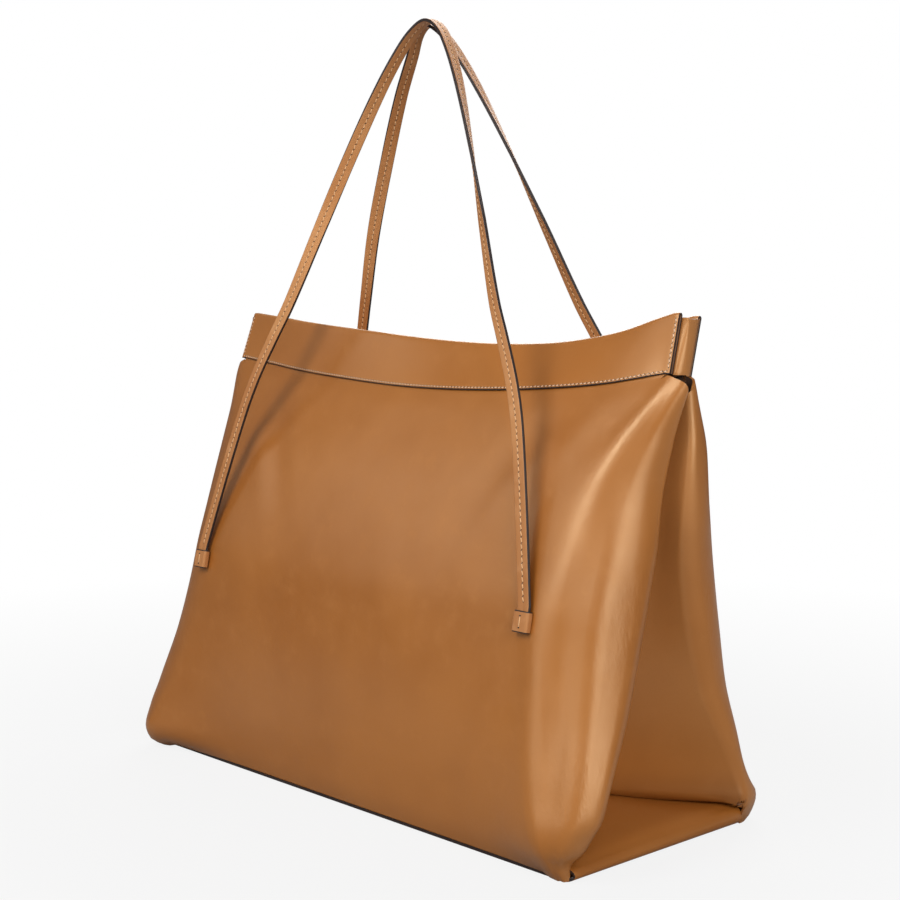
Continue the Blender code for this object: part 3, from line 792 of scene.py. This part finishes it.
# stitches: one waxed stitch, copied along a seam

beadShape = {"flatness": 0.8, "waist": 0.1, "taper": 1.2, "holeDepth": 0.35}


def makeBead(radius, material, segments=8, rings=6):
    # a ball in one material, still in the middle of the scene
    clearSelection()
    bpy.ops.mesh.primitive_uv_sphere_add(segments=segments, ring_count=rings, radius=radius)
    bead = bpy.context.active_object
    giveMaterials(bead, material)
    bead.data.shade_smooth()
    return bead


def makeStitch(name, material, length, radius, hole=0.0):
    # a slim bead of thread, with a dark bead of painted shade for the needle hole under each end where one
    # shows
    thread = makeBead(radius, material)
    for vertex in thread.data.vertices:
        if abs(vertex.co.z) > radius * beadShape["waist"]:
            vertex.co.z *= beadShape["taper"]
            vertex.co.z += math.copysign(length / 2 - radius, vertex.co.z)
        vertex.co.y *= beadShape["flatness"]
    made = [thread]
    for end in (-1, 1) if hole else ():
        dark = makeBead(hole, needleHoleShade)
        for vertex in dark.data.vertices:
            vertex.co.y *= beadShape["holeDepth"] * beadShape["flatness"]
            vertex.co.z += end * length / 2
        made.append(dark)
    return joinPieces(name, made)


def walk(points, pitch):
    # places a pitch apart along a line of points, each with its share between two of them
    lengths = [(points[i + 1] - points[i]).length for i in range(len(points) - 1)]
    count = max(1, round(sum(lengths) / pitch))
    step = sum(lengths) / count
    found = []
    i, passed = 0, 0.0
    for number in range(count):
        goal = (number + 0.5) * step
        while i < len(lengths) - 1 and passed + lengths[i] < goal:
            passed += lengths[i]
            i += 1
        found.append((i, (goal - passed) / lengths[i]))
    return found


def sewSeam(name, seams, pitch, stitch, slant=0.0):
    # seams are (points, outward directions); the stitches become one piece
    made = []
    for points, outs in seams:
        for i, share in walk(points, pitch):
            along = (points[i + 1] - points[i]).normalized()
            out = outs[i].lerp(outs[i + 1], share)
            out = (out - along * out.dot(along)).normalized()
            sideways = out.cross(along)
            turned = (along * math.cos(slant) + sideways * math.sin(slant)).normalized()
            frameOf = Matrix((turned.cross(out) * -1, out, turned)).transposed().to_4x4()
            frameOf.translation = points[i].lerp(points[i + 1], share)
            copy = stitch.copy()
            copy.data = stitch.data.copy()
            bpy.context.collection.objects.link(copy)
            copy.data.transform(frameOf)
            made.append(copy)
    return joinPieces(name, made)


# collar: a stiff folded band round the mouth, sewn along its lower edge and its ends

collarSizes = {"leather": 0.0015, "slack": 0.0006, "overhang": 0.0045, "columns": 110, "leafRows": 12,
               "arc": 12, "pinch": 0.00085, "pinchLength": 0.022, "paintedEdge": 0.0007,
               "edgeRound": 0.00035, "foldHighlight": band(0, 7), "edgeRub": band(0, 2.5), "edgeWear": 0.4,
               "seamInset": 0.0018, "seamSteps": 90, "endSeamStart": 0.00396, "endSeamStop": 0.004,
               "endSeamSteps": 12, "pitch": 0.0036, "slant": 0.35}
fillerSizes = {"inset": 0.0011, "topGap": 0.0004, "bottomGap": 0.0003, "bulge": 0.0006,
               "thickness": 0.0012, "columns": 6, "rows": 24}
# half the panel's length under the collar, and where the collar ends as a share of it
collarHalf = panelPoint(1, 1, -1)[0]
collarEnd = 1 + collarSizes["overhang"] / collarHalf


def leafOffset(across):
    # distance of each leaf from the collar's middle, smaller at the pressed ends
    full = (bagShape["leather"] + 2 * collarSizes["slack"] + collarSizes["leather"]) / 2
    near = (collarEnd - abs(across)) * collarHalf / collarSizes["pinchLength"]
    return full - collarSizes["pinch"] * (1 - easy(near))


def onLeaf(across, rise, offset, side):
    start, up, out = collarFrame(across, side)
    point = start + up * rise + out * offset
    return leaned(point.x, point.y, point.z, side)


def leafOut(across, side):
    out = collarFrame(across, side)[2]
    return Vector((0, side * out.y, out.z))


def makeFiller(side, end):
    # the painted end of the band, between its two leaves
    wide, tall = fillerSizes["columns"], fillerSizes["rows"]
    inner = leafOffset(collarEnd) - collarSizes["leather"] / 2
    across = end * (collarEnd - fillerSizes["inset"] / collarHalf)
    top = bagShape["collarHeight"] - collarSizes["leather"] - fillerSizes["topGap"]
    filler = laySheet("filler", wide, tall, lambda column, row: onLeaf(
        across, mix(fillerSizes["bottomGap"], top, row / tall), inner * (2 * column / wide - 1), side))
    for vertex in filler.data.vertices:
        bulge = fillerSizes["bulge"] * math.sin(math.pi * (vertex.index % (wide + 1)) / wide)
        vertex.co.x += end * bulge
    giveMaterials(filler, edgePaint)
    turnOutwards(filler, onLeaf(across, 0.02, 0, side), Vector((end, 0, 0)))
    applyModifier(filler, "SOLIDIFY", thickness=fillerSizes["thickness"], offset=-1.0)
    return filler


def buildCollar(sideName, side):
    leafRows, arc, columns = collarSizes["leafRows"], collarSizes["arc"], collarSizes["columns"]

    def leafRise(row, top):
        # the first row is the painted edge
        return mix(collarSizes["paintedEdge"], top, (row - 1) / (leafRows - 1)) if row else 0.0

    def collarPoint(column, row):
        across = mix(-collarEnd, collarEnd, column / columns)
        offset = leafOffset(across)
        top = bagShape["collarHeight"] - offset - collarSizes["leather"] / 2
        if row < leafRows:
            return onLeaf(across, leafRise(row, top), offset, side)
        if row > leafRows + arc:
            return onLeaf(across, leafRise(2 * leafRows + arc - row, top), -offset, side)
        angle = math.pi * (row - leafRows) / arc
        return onLeaf(across, top + offset * math.sin(angle), offset * math.cos(angle), side)

    # a painted highlight along the top fold, and paler wear by the lower edge
    def collarHighlightAndRub(vertex):
        row = vertex.index // (columns + 1)
        edge = collarSizes["edgeWear"] * collarSizes["edgeRub"](row)
        return collarSizes["foldHighlight"](row - leafRows - arc / 2) + edge

    collar = laySheet(sideName + "Collar", columns, 2 * leafRows + arc, collarPoint)
    turnOutwards(collar, onLeaf(0, 0.01, 0.003, side), Vector((0, side, 0)))
    giveMaterials(collar, tanLeather, innerSuede, edgePaint)
    for face in collar.data.polygons:
        row = min(face.vertices) // (columns + 1)
        face.material_index = 2 if row in (0, 2 * leafRows + arc - 1) else 0
    addWearAndLight(collar, rub=collarHighlightAndRub)
    thicken(collar, collarSizes["leather"])
    roundEdges(collar, collarSizes["edgeRound"])
    collar = joinPieces(sideName + "Collar", [collar] + [makeFiller(side, end) for end in (-1, 1)])
    smoothShade(collar, 50)
    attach(collar, "bag")
    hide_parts(sideName + "_collar")

    inset, surface = collarSizes["seamInset"], collarSizes["leather"] / 2
    stop = collarEnd - inset / collarHalf
    low, high = collarSizes["endSeamStart"], bagShape["collarHeight"] - collarSizes["endSeamStop"]
    long, short = collarSizes["seamSteps"], collarSizes["endSeamSteps"]

    def leafSeam(spots, face):
        # a seam on one face of the collar, through places as (across, rise)
        return ([onLeaf(across, rise, face * (leafOffset(across) + surface), side) for across, rise in spots],
                [leafOut(across, side) * face for across, rise in spots])

    seams = []
    for face in (1, -1):
        seams.append(leafSeam([(mix(-stop, stop, step / long), inset) for step in range(long + 1)], face))
        for end in (-1, 1):
            spots = [(end * stop, mix(low, high, step / short)) for step in range(short + 1)]
            seams.append(leafSeam(spots, face))
    seam = sewSeam(sideName + "CollarSeam", seams, collarSizes["pitch"], collarStitch, collarSizes["slant"])
    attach(seam, "bag")


stiffenerSizes = {"endGap": 0.006, "low": 0.0135, "topGap": 0.0045, "thickness": 0.0010,
                  "columns": 60, "rows": 8}


def buildStiffener(sideName, side):
    # the board pressed between a collar's two leaves
    reach = collarEnd - stiffenerSizes["endGap"] / collarHalf
    high = bagShape["collarHeight"] - stiffenerSizes["topGap"]
    columns, rows = stiffenerSizes["columns"], stiffenerSizes["rows"]
    board = laySheet(sideName + "Stiffener", columns, rows, lambda column, row: onLeaf(
        mix(-reach, reach, column / columns), mix(stiffenerSizes["low"], high, row / rows), 0.0, side))
    giveMaterials(board, fibreBoard)
    applyModifier(board, "SOLIDIFY", thickness=stiffenerSizes["thickness"], offset=0.0)
    turnOutwards(board, onLeaf(0, 0.02, 0.001, side), Vector((0, side, 0)))
    smoothShade(board, 40)
    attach(board, "bag")
    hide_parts(sideName + "_collar_stiffener")


collarStitch = makeStitch("collarStitch", paleThread, length=0.0022, radius=0.00044, hole=0.0006)
for sideName, side in sides:
    buildCollar(sideName, side)
    buildStiffener(sideName, side)
print("collars folded and sewn")


# bridge strips: a loop of leather that joins the two collars at each end of the mouth

stripSizes = {"leather": 0.0016, "flange": 0.012, "gap": 0.0002, "topGap": 0.0030, "rows": 16, "arc": 14,
              "flangeColumns": 4, "edgeRound": 0.00035, "rub": 1.2, "rubAt": band(0.276, 0.022),
              "bulge": {"left": (0.0018, 0.0004), "right": (0.0040, 0.0050)}}


def buildStrip(endName, end):
    count = stripSizes["flangeColumns"]
    halfColumns = count + stripSizes["arc"]
    under = collarSizes["leather"] / 2 + stripSizes["leather"] / 2 + stripSizes["gap"]

    def stripPoint(column, row):
        side = -1 if column <= halfColumns else 1
        i = column if side < 0 else 2 * halfColumns - column
        rise = (bagShape["collarHeight"] - stripSizes["topGap"]) * row / stripSizes["rows"]
        bulge = mix(*stripSizes["bulge"][endName], rise / bagShape["collarHeight"])
        across = collarEnd - stripSizes["flange"] / collarHalf * max(1 - i / count, 0)
        start, up, out = collarFrame(end * across, side)
        point = start + up * rise - out * (leafOffset(across) + under)
        if i > count:
            angle = math.pi / 2 * (1 - (i - count) / stripSizes["arc"])
            point = Vector((point.x + end * bulge * math.cos(angle), point.y * math.sin(angle), point.z))
        return leaned(*point, side)

    strip = laySheet(endName + "BridgeStrip", 2 * halfColumns, stripSizes["rows"], stripPoint)
    closeDoubles(strip)
    turnOutwards(strip, Vector((end * 0.29, 0, 0.36)), Vector((end, 0, 0)))
    # a painted highlight down the strip's outer bulge
    addWearAndLight(strip, rub=lambda vertex: stripSizes["rub"] * stripSizes["rubAt"](abs(vertex.co.x)))
    giveMaterials(strip, tanLeather, innerSuede, edgePaint)
    thicken(strip, stripSizes["leather"])
    roundEdges(strip, stripSizes["edgeRound"])
    smoothShade(strip, 50)
    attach(strip, "bag")
    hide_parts(endName + "_bridge_strip")


for endName, end in ends:
    buildStrip(endName, end)
print("bridge strips set in")


# straps and keepers

strapSizes = {"width": 0.0115, "thickness": 0.0027, "spacing": 0.397, "gap": 0.0003, "pivotRise": 0.0028,
              "bendZone": (-0.001, 0.010), "crownHeight": 0.62315, "crownSpacing": 0.0128,
              "crownOffset": 0.008, "knotRise": 0.0005, "endMargin": 0.0005, "step": 0.003,
              "paintedFrom": 0.90, "valley": 0.86, "seamStart": 7, "pitch": 0.0047, "slant": 0.22}
keeperSizes = {"height": 0.0155, "middle": 0.173, "leather": 0.0012, "corner": 0.0013, "turns": 5,
               "step": 0.0012, "swell": 0.00022, "edgeRound": 0.0003, "tackRise": 0.0002,
               "tackHalf": 0.0042, "holeRadius": 0.00062,
               "rows": (0, 0.055, 0.14, 0.26, 0.38, 0.5, 0.62, 0.74, 0.86, 0.945, 1)}
legWidthRows = (
    (0, 1), (0.148, 0.923), (0.285, 0.842), (0.353, 0.785), (0.422, 0.708), (0.49, 0.628), (0.627, 0.498),
    (0.764, 0.365), (0.88, 0.24), (0.95, 0.145), (0.985, 0.075))
# the back strap's left leg stands wider than the others
backLeftRows = (
    (0, 0), (0.2, 0.012), (0.433, 0.038), (0.524, 0.062), (0.585, 0.058), (0.642, 0.049), (0.7, 0.032),
    (0.756, 0.02), (0.813, 0.008), (0.866, -0.008), (0.92, -0.02), (0.961, -0.028), (1, 0))
twistRows = (
    (0, 0), (0.3, 0.01), (0.445, 0.08), (0.55, 0.17), (0.66, 0.33), (0.72, 0.48), (0.825, 0.73),
    (0.88, 0.83), (0.95, 0.94), (1, 1))
# half a strap's section from the middle of its painted edge to the middle of a face, in half widths
# and half thicknesses, with the shallow valley that the centre seam pulls in
strapProfile = (
    (0.966, 0), (0.988, 0.16), (1, 0.38), (0.993, 0.62), (0.972, 0.8), (0.938, 0.92), (0.88, 0.98),
    (0.74, 1), (0.52, 0.99), (0.3, 0.96), (0.14, 0.91), (0.06, 0.86), (0, 0.84))


def keeperFrame(side, end):
    share = heightShare(keeperSizes["middle"])
    half, corner = section(share)[:2]
    across = min(strapSizes["spacing"] / 2 / (half - corner), 1)
    step = 0.001
    low, here, high = [leaned(*panelPoint(across, share + rise, side), side) for rise in (-step, 0, step)]
    up = high - low
    up.x = 0
    up.normalize()
    out = Vector((0, side * up.z, -side * up.y))
    here.x = end * strapSizes["spacing"] / 2
    return here + out * (bagShape["leather"] / 2 + strapSizes["gap"]), out, up


def strapSeat(side, end):
    back, out, up = keeperFrame(side, end)
    return back + out * (keeperSizes["leather"] + strapSizes["gap"] + strapSizes["thickness"] / 2), out, up


def pivotPoint(side):
    seat, _, up = strapSeat(side, 1)
    pivot = seat + up * (keeperSizes["height"] / 2 + strapSizes["pivotRise"])
    return Vector((0, pivot.y, pivot.z))


def strapKnots(side):
    # points and twists up the left leg, over the crown and down the right leg
    pivot = pivotPoint(side)
    crown = Vector((-side * strapSizes["crownOffset"], side * strapSizes["crownSpacing"] / 2,
                    strapSizes["crownHeight"]))
    left, right = [], []
    for share, width in legWidthRows:
        middle = pivot.lerp(crown, share)
        middle.x = crown.x * share * share
        reach = Vector((strapSizes["spacing"] / 2 * width, 0, 0))
        extra = strapSizes["spacing"] / 2 * (curveValue(backLeftRows, share) if side > 0 else 0)
        twist = curveValue(twistRows, share) * math.pi / 2
        left.append((middle - reach - Vector((extra, 0, 0)), twist))
        right.append((middle + reach, math.pi - twist))
    knots = left + [(crown, math.pi / 2)] + right[::-1]
    seat, _, up = strapSeat(side, 1)
    half = keeperSizes["height"] / 2
    for rise in (half + strapSizes["knotRise"], 0, strapSizes["endMargin"] - half):
        for twist, end in ((0, -1), (math.pi, 1)):
            point = seat + up * rise
            point.x = end * strapSizes["spacing"] / 2
            knots.insert(0 if end < 0 else len(knots), (point, twist))
    return knots


def smoothRoute(knots):
    route = []
    for i in range(len(knots) - 1):
        before, after = knots[max(i - 1, 0)][0], knots[min(i + 2, len(knots) - 1)][0]
        start, end = knots[i][0], knots[i + 1][0]
        span = (end - start).length
        outSlope = (end - before).normalized() * span
        inSlope = (after - start).normalized() * span
        steps = max(1, round(span / strapSizes["step"]))
        for step in range(steps):
            t = step / steps
            point = start + (end - start) * (t * t * (3 - 2 * t))
            point = point + outSlope * (t * (1 - t) * (1 - t)) - inSlope * (t * t * (1 - t))
            route.append((point, mix(knots[i][1], knots[i + 1][1], t)))
    route.append(knots[-1])
    return route


def strapFrames(route):
    # each point of the route with its directions across the width and out of the face
    frames = []
    last = len(route) - 1
    for i, (point, twist) in enumerate(route):
        along = (route[min(i + 1, last)][0] - route[max(i - 1, 0)][0]).normalized()
        wide = Vector((math.cos(twist), math.sin(twist), 0))
        wide = (wide - along * wide.dot(along)).normalized()
        frames.append((point, wide, along.cross(wide)))
    return frames


def buildStrap(sideName, side):
    frames = strapFrames(smoothRoute(strapKnots(side)))
    quarter = [Vector(spot) for spot in strapProfile]
    loop = quarter + [Vector((-spot.x, spot.y)) for spot in quarter[-2::-1]]
    loop += [Vector((spot.x, -spot.y)) for spot in loop[-2:0:-1]]
    loop.append(loop[0])
    halfWidth, halfThick = strapSizes["width"] / 2, strapSizes["thickness"] / 2

    def strapPoint(column, row):
        point, wide, normal = frames[column]
        spot = loop[row]
        return point + wide * (halfWidth * spot.x) + normal * (halfThick * spot.y)

    strap = laySheet(sideName + "Strap", len(frames) - 1, len(loop) - 1, strapPoint)
    giveMaterials(strap, strapLeather, edgePaint)
    for face in strap.data.polygons:
        spots = [loop[index // len(frames)] for index in face.vertices]
        if all(abs(spot.x) > strapSizes["paintedFrom"] for spot in spots):
            face.material_index = 1
    closeDoubles(strap)
    pickOnly(strap)
    bpy.ops.object.mode_set(mode="EDIT")
    bpy.ops.mesh.select_all(action="DESELECT")
    bpy.ops.mesh.select_non_manifold()
    bpy.ops.mesh.edge_face_add()
    bpy.ops.mesh.select_all(action="SELECT")
    bpy.ops.mesh.normals_make_consistent(inside=False)
    bpy.ops.object.mode_set(mode="OBJECT")
    smoothShade(strap, 60)

    zone = [pivotPoint(side) + Vector((0, 0, rise)) for rise in strapSizes["bendZone"]]
    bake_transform(strap)
    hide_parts(sideName + "_strap_outer", sideName + "_strap_lining",
                sideName + "_left_strap_end", sideName + "_right_strap_end")

    inside = frames[strapSizes["seamStart"]:-strapSizes["seamStart"]]
    seams = []
    for face in (1, -1):
        lift = face * halfThick * strapSizes["valley"]
        seams.append(([point + normal * lift for point, wide, normal in inside],
                      [normal * face for point, wide, normal in inside]))
    seam = sewSeam(sideName + "StrapSeam", seams, strapSizes["pitch"], strapStitch, strapSizes["slant"])
    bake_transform(seam)


def keeperOutline(width, depth):
    # a closed rounded rectangle round the strap, cut into short steps
    radius, turns = keeperSizes["corner"], keeperSizes["turns"]
    outline = []
    for quarter in range(4):
        centreX = (width - radius) * (1 if quarter in (0, 3) else -1)
        centreY = (depth - radius) * (1 if quarter in (0, 1) else -1)
        for step in range(turns + 1):
            angle = math.pi / 2 * (quarter + step / turns)
            outline.append((centreX + radius * math.cos(angle), centreY + radius * math.sin(angle)))
    dense = []
    for i, (x, y) in enumerate(outline):
        nextX, nextY = outline[(i + 1) % len(outline)]
        pieces = max(1, round(math.dist((x, y), (nextX, nextY)) / keeperSizes["step"]))
        dense += [(mix(x, nextX, step / pieces), mix(y, nextY, step / pieces)) for step in range(pieces)]
    return dense + dense[:1]


def buildKeeper(sideName, side, endName, end):
    seat, out, up = strapSeat(side, end)
    right = out.cross(up)
    leather, rows = keeperSizes["leather"], keeperSizes["rows"]
    depth = strapSizes["thickness"] / 2 + strapSizes["gap"] + leather / 2
    outline = keeperOutline(strapSizes["width"] / 2 + strapSizes["gap"] + leather / 2, depth)

    def keeperPoint(column, row):
        x, y = outline[column]
        swell = keeperSizes["swell"] * math.sin(math.pi * rows[row])
        x += math.copysign(swell, x)
        y += math.copysign(swell, y) if y > 0 else 0
        return seat + right * x + out * y + up * (keeperSizes["height"] * (rows[row] - 0.5))

    name = sideName + endName.capitalize()
    keeper = laySheet(name + "Keeper", len(outline) - 1, len(rows) - 1, keeperPoint)
    giveMaterials(keeper, strapLeather, innerSuede, edgePaint)
    for face in keeper.data.polygons:
        row = min(face.vertices) // len(outline)
        face.material_index = 2 if row in (0, len(rows) - 2) else 0
    closeDoubles(keeper)
    turnOutwards(keeper, seat + out * depth, out)
    thicken(keeper, leather)
    roundEdges(keeper, keeperSizes["edgeRound"])
    smoothShade(keeper, 50)
    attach(keeper, "bag")
    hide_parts(sideName + "_" + endName + "_keeper")

    surface = seat + out * (depth + leather / 2 + keeperSizes["tackRise"])
    half = keeperSizes["tackHalf"]
    spots = [surface + up * rise for rise in (-half, half)]
    tack = [sewSeam(name + "Tack", [(spots, [out, out])], 2 * half, keeperStitch)]
    for spot in spots:
        # dark beads of painted shade stand for the two needle holes
        hole = makeBead(keeperSizes["holeRadius"], needleHoleShade, segments=12, rings=8)
        hole.data.transform(Matrix.Translation(spot))
        tack.append(hole)
    tack = joinPieces(name + "Tack", tack)
    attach(tack, "bag")


strapStitch = makeStitch("strapStitch", tanThread, length=0.0036, radius=0.00046, hole=0.0006)
keeperStitch = makeStitch("keeperStitch", tanThread, length=0.0086, radius=0.00042)
for sideName, side in sides:
    buildStrap(sideName, side)
    for endName, end in ends:
        buildKeeper(sideName, side, endName, end)
for spare in (collarStitch, strapStitch, keeperStitch):
    bpy.data.objects.remove(spare)
print("straps and keepers made")


# studio

studio = {"cameraPlace": (0.9940, -0.8955, 0.3934), "yaw": 47.21, "pitch": -4.96, "lens": 65.1,
          "softboxes": {"key": ((0.05, -1.10, 1.10), 0.6, 8.8),
                        "front": ((0.60, -1.50, 1.10), 1.2, 4.2),
                        "low": ((-0.25, -1.70, 0.60), 0.9, 4.4),
                        "left": ((-1.20, -1.25, 1.02), 0.8, 2.8),
                        "right": ((1.78, -0.60, 1.38), 1.2, 14.5),
                        "side": ((2.20, -0.62, 0.45), 1.5, 22.0),
                        "back": ((-0.80, 1.30, 1.50), 1.6, 36.0)},
          "aim": (0, 0, 0.22), "ambient": 0.18, "floorTone": 0.38, "floorRadius": 40.0,
          "floorDrop": 0.0002, "shadowKept": 0.14, "shadowFade": (0.35, 1.1)}


def placeInStudio(name, data, place, forward):
    # a camera or a lamp that looks along its own -Z
    item = bpy.data.objects.new(name, data)
    item.location = place
    item.rotation_euler = forward.to_track_quat("-Z", "Y").to_euler()
    bpy.context.scene.collection.objects.link(item)
    return item


def addCamera():
    yaw, pitch = math.radians(studio["yaw"]), math.radians(studio["pitch"])
    forward = Vector((-math.sin(yaw) * math.cos(pitch), math.cos(yaw) * math.cos(pitch), math.sin(pitch)))
    data = bpy.data.cameras.new("photoCamera")
    data.lens = studio["lens"]
    data.sensor_width = 36.0
    bpy.context.scene.camera = placeInStudio("photoCamera", data, studio["cameraPlace"], forward)


def addSoftbox(name, place, size, power):
    data = bpy.data.lights.new(name, "AREA")
    data.size = size
    data.energy = power
    placeInStudio(name, data, place, Vector(studio["aim"]) - Vector(place))


def buildWorld():
    # white where the camera sees it, dim where it lights the bag
    world = bpy.data.worlds.new("studioWorld")
    world.use_nodes = True
    bpy.context.scene.world = world
    sky = NodeTree(world.node_tree)
    sky.tree.nodes["Background"].inputs["Color"].default_value = (1, 1, 1, 1)
    seen = sky.add("LightPath", out="Is Camera Ray")
    sky.link(studio["ambient"] + seen * (1 - studio["ambient"]), "Background", "Strength")


def buildFloor():
    # paper that keeps some of the bag's shadow near it, and is white for the camera further out
    clearSelection()
    bpy.ops.mesh.primitive_circle_add(vertices=96, radius=studio["floorRadius"], fill_type="NGON",
                                      location=(0, 0, -studio["floorDrop"]))
    floor = bpy.context.active_object
    floor.name = "studioFloor"
    finish = Finish("floorPaper", Roughness=1.0, Specular_IOR_Level=0.0,
                    Base_Color=(*[studio["floorTone"]] * 3, 1))
    far = finish.add("VectorMath", {"operation": "LENGTH"}, {0: finish.place()}, out="Value")
    fade = finish.stretch(far, *studio["shadowFade"])
    seen = finish.add("LightPath", out="Is Camera Ray")
    white = finish.add("Emission", None, {"Color": (1, 1, 1, 1), "Strength": 1.0})
    share = seen * (1 - studio["shadowKept"] * (1 - fade))
    surface = finish.add("MixShader", None, {0: share, 1: Wire(finish, finish.shader.outputs[0]), 2: white})
    finish.link(surface, "Material Output", "Surface")
    giveMaterials(floor, finish.material)


addCamera()
for name, (place, size, power) in studio["softboxes"].items():
    addSoftbox(name + "Softbox", place, size, power)
buildWorld()
buildFloor()
bpy.context.scene.view_settings.view_transform = "Standard"
print("studio lit")
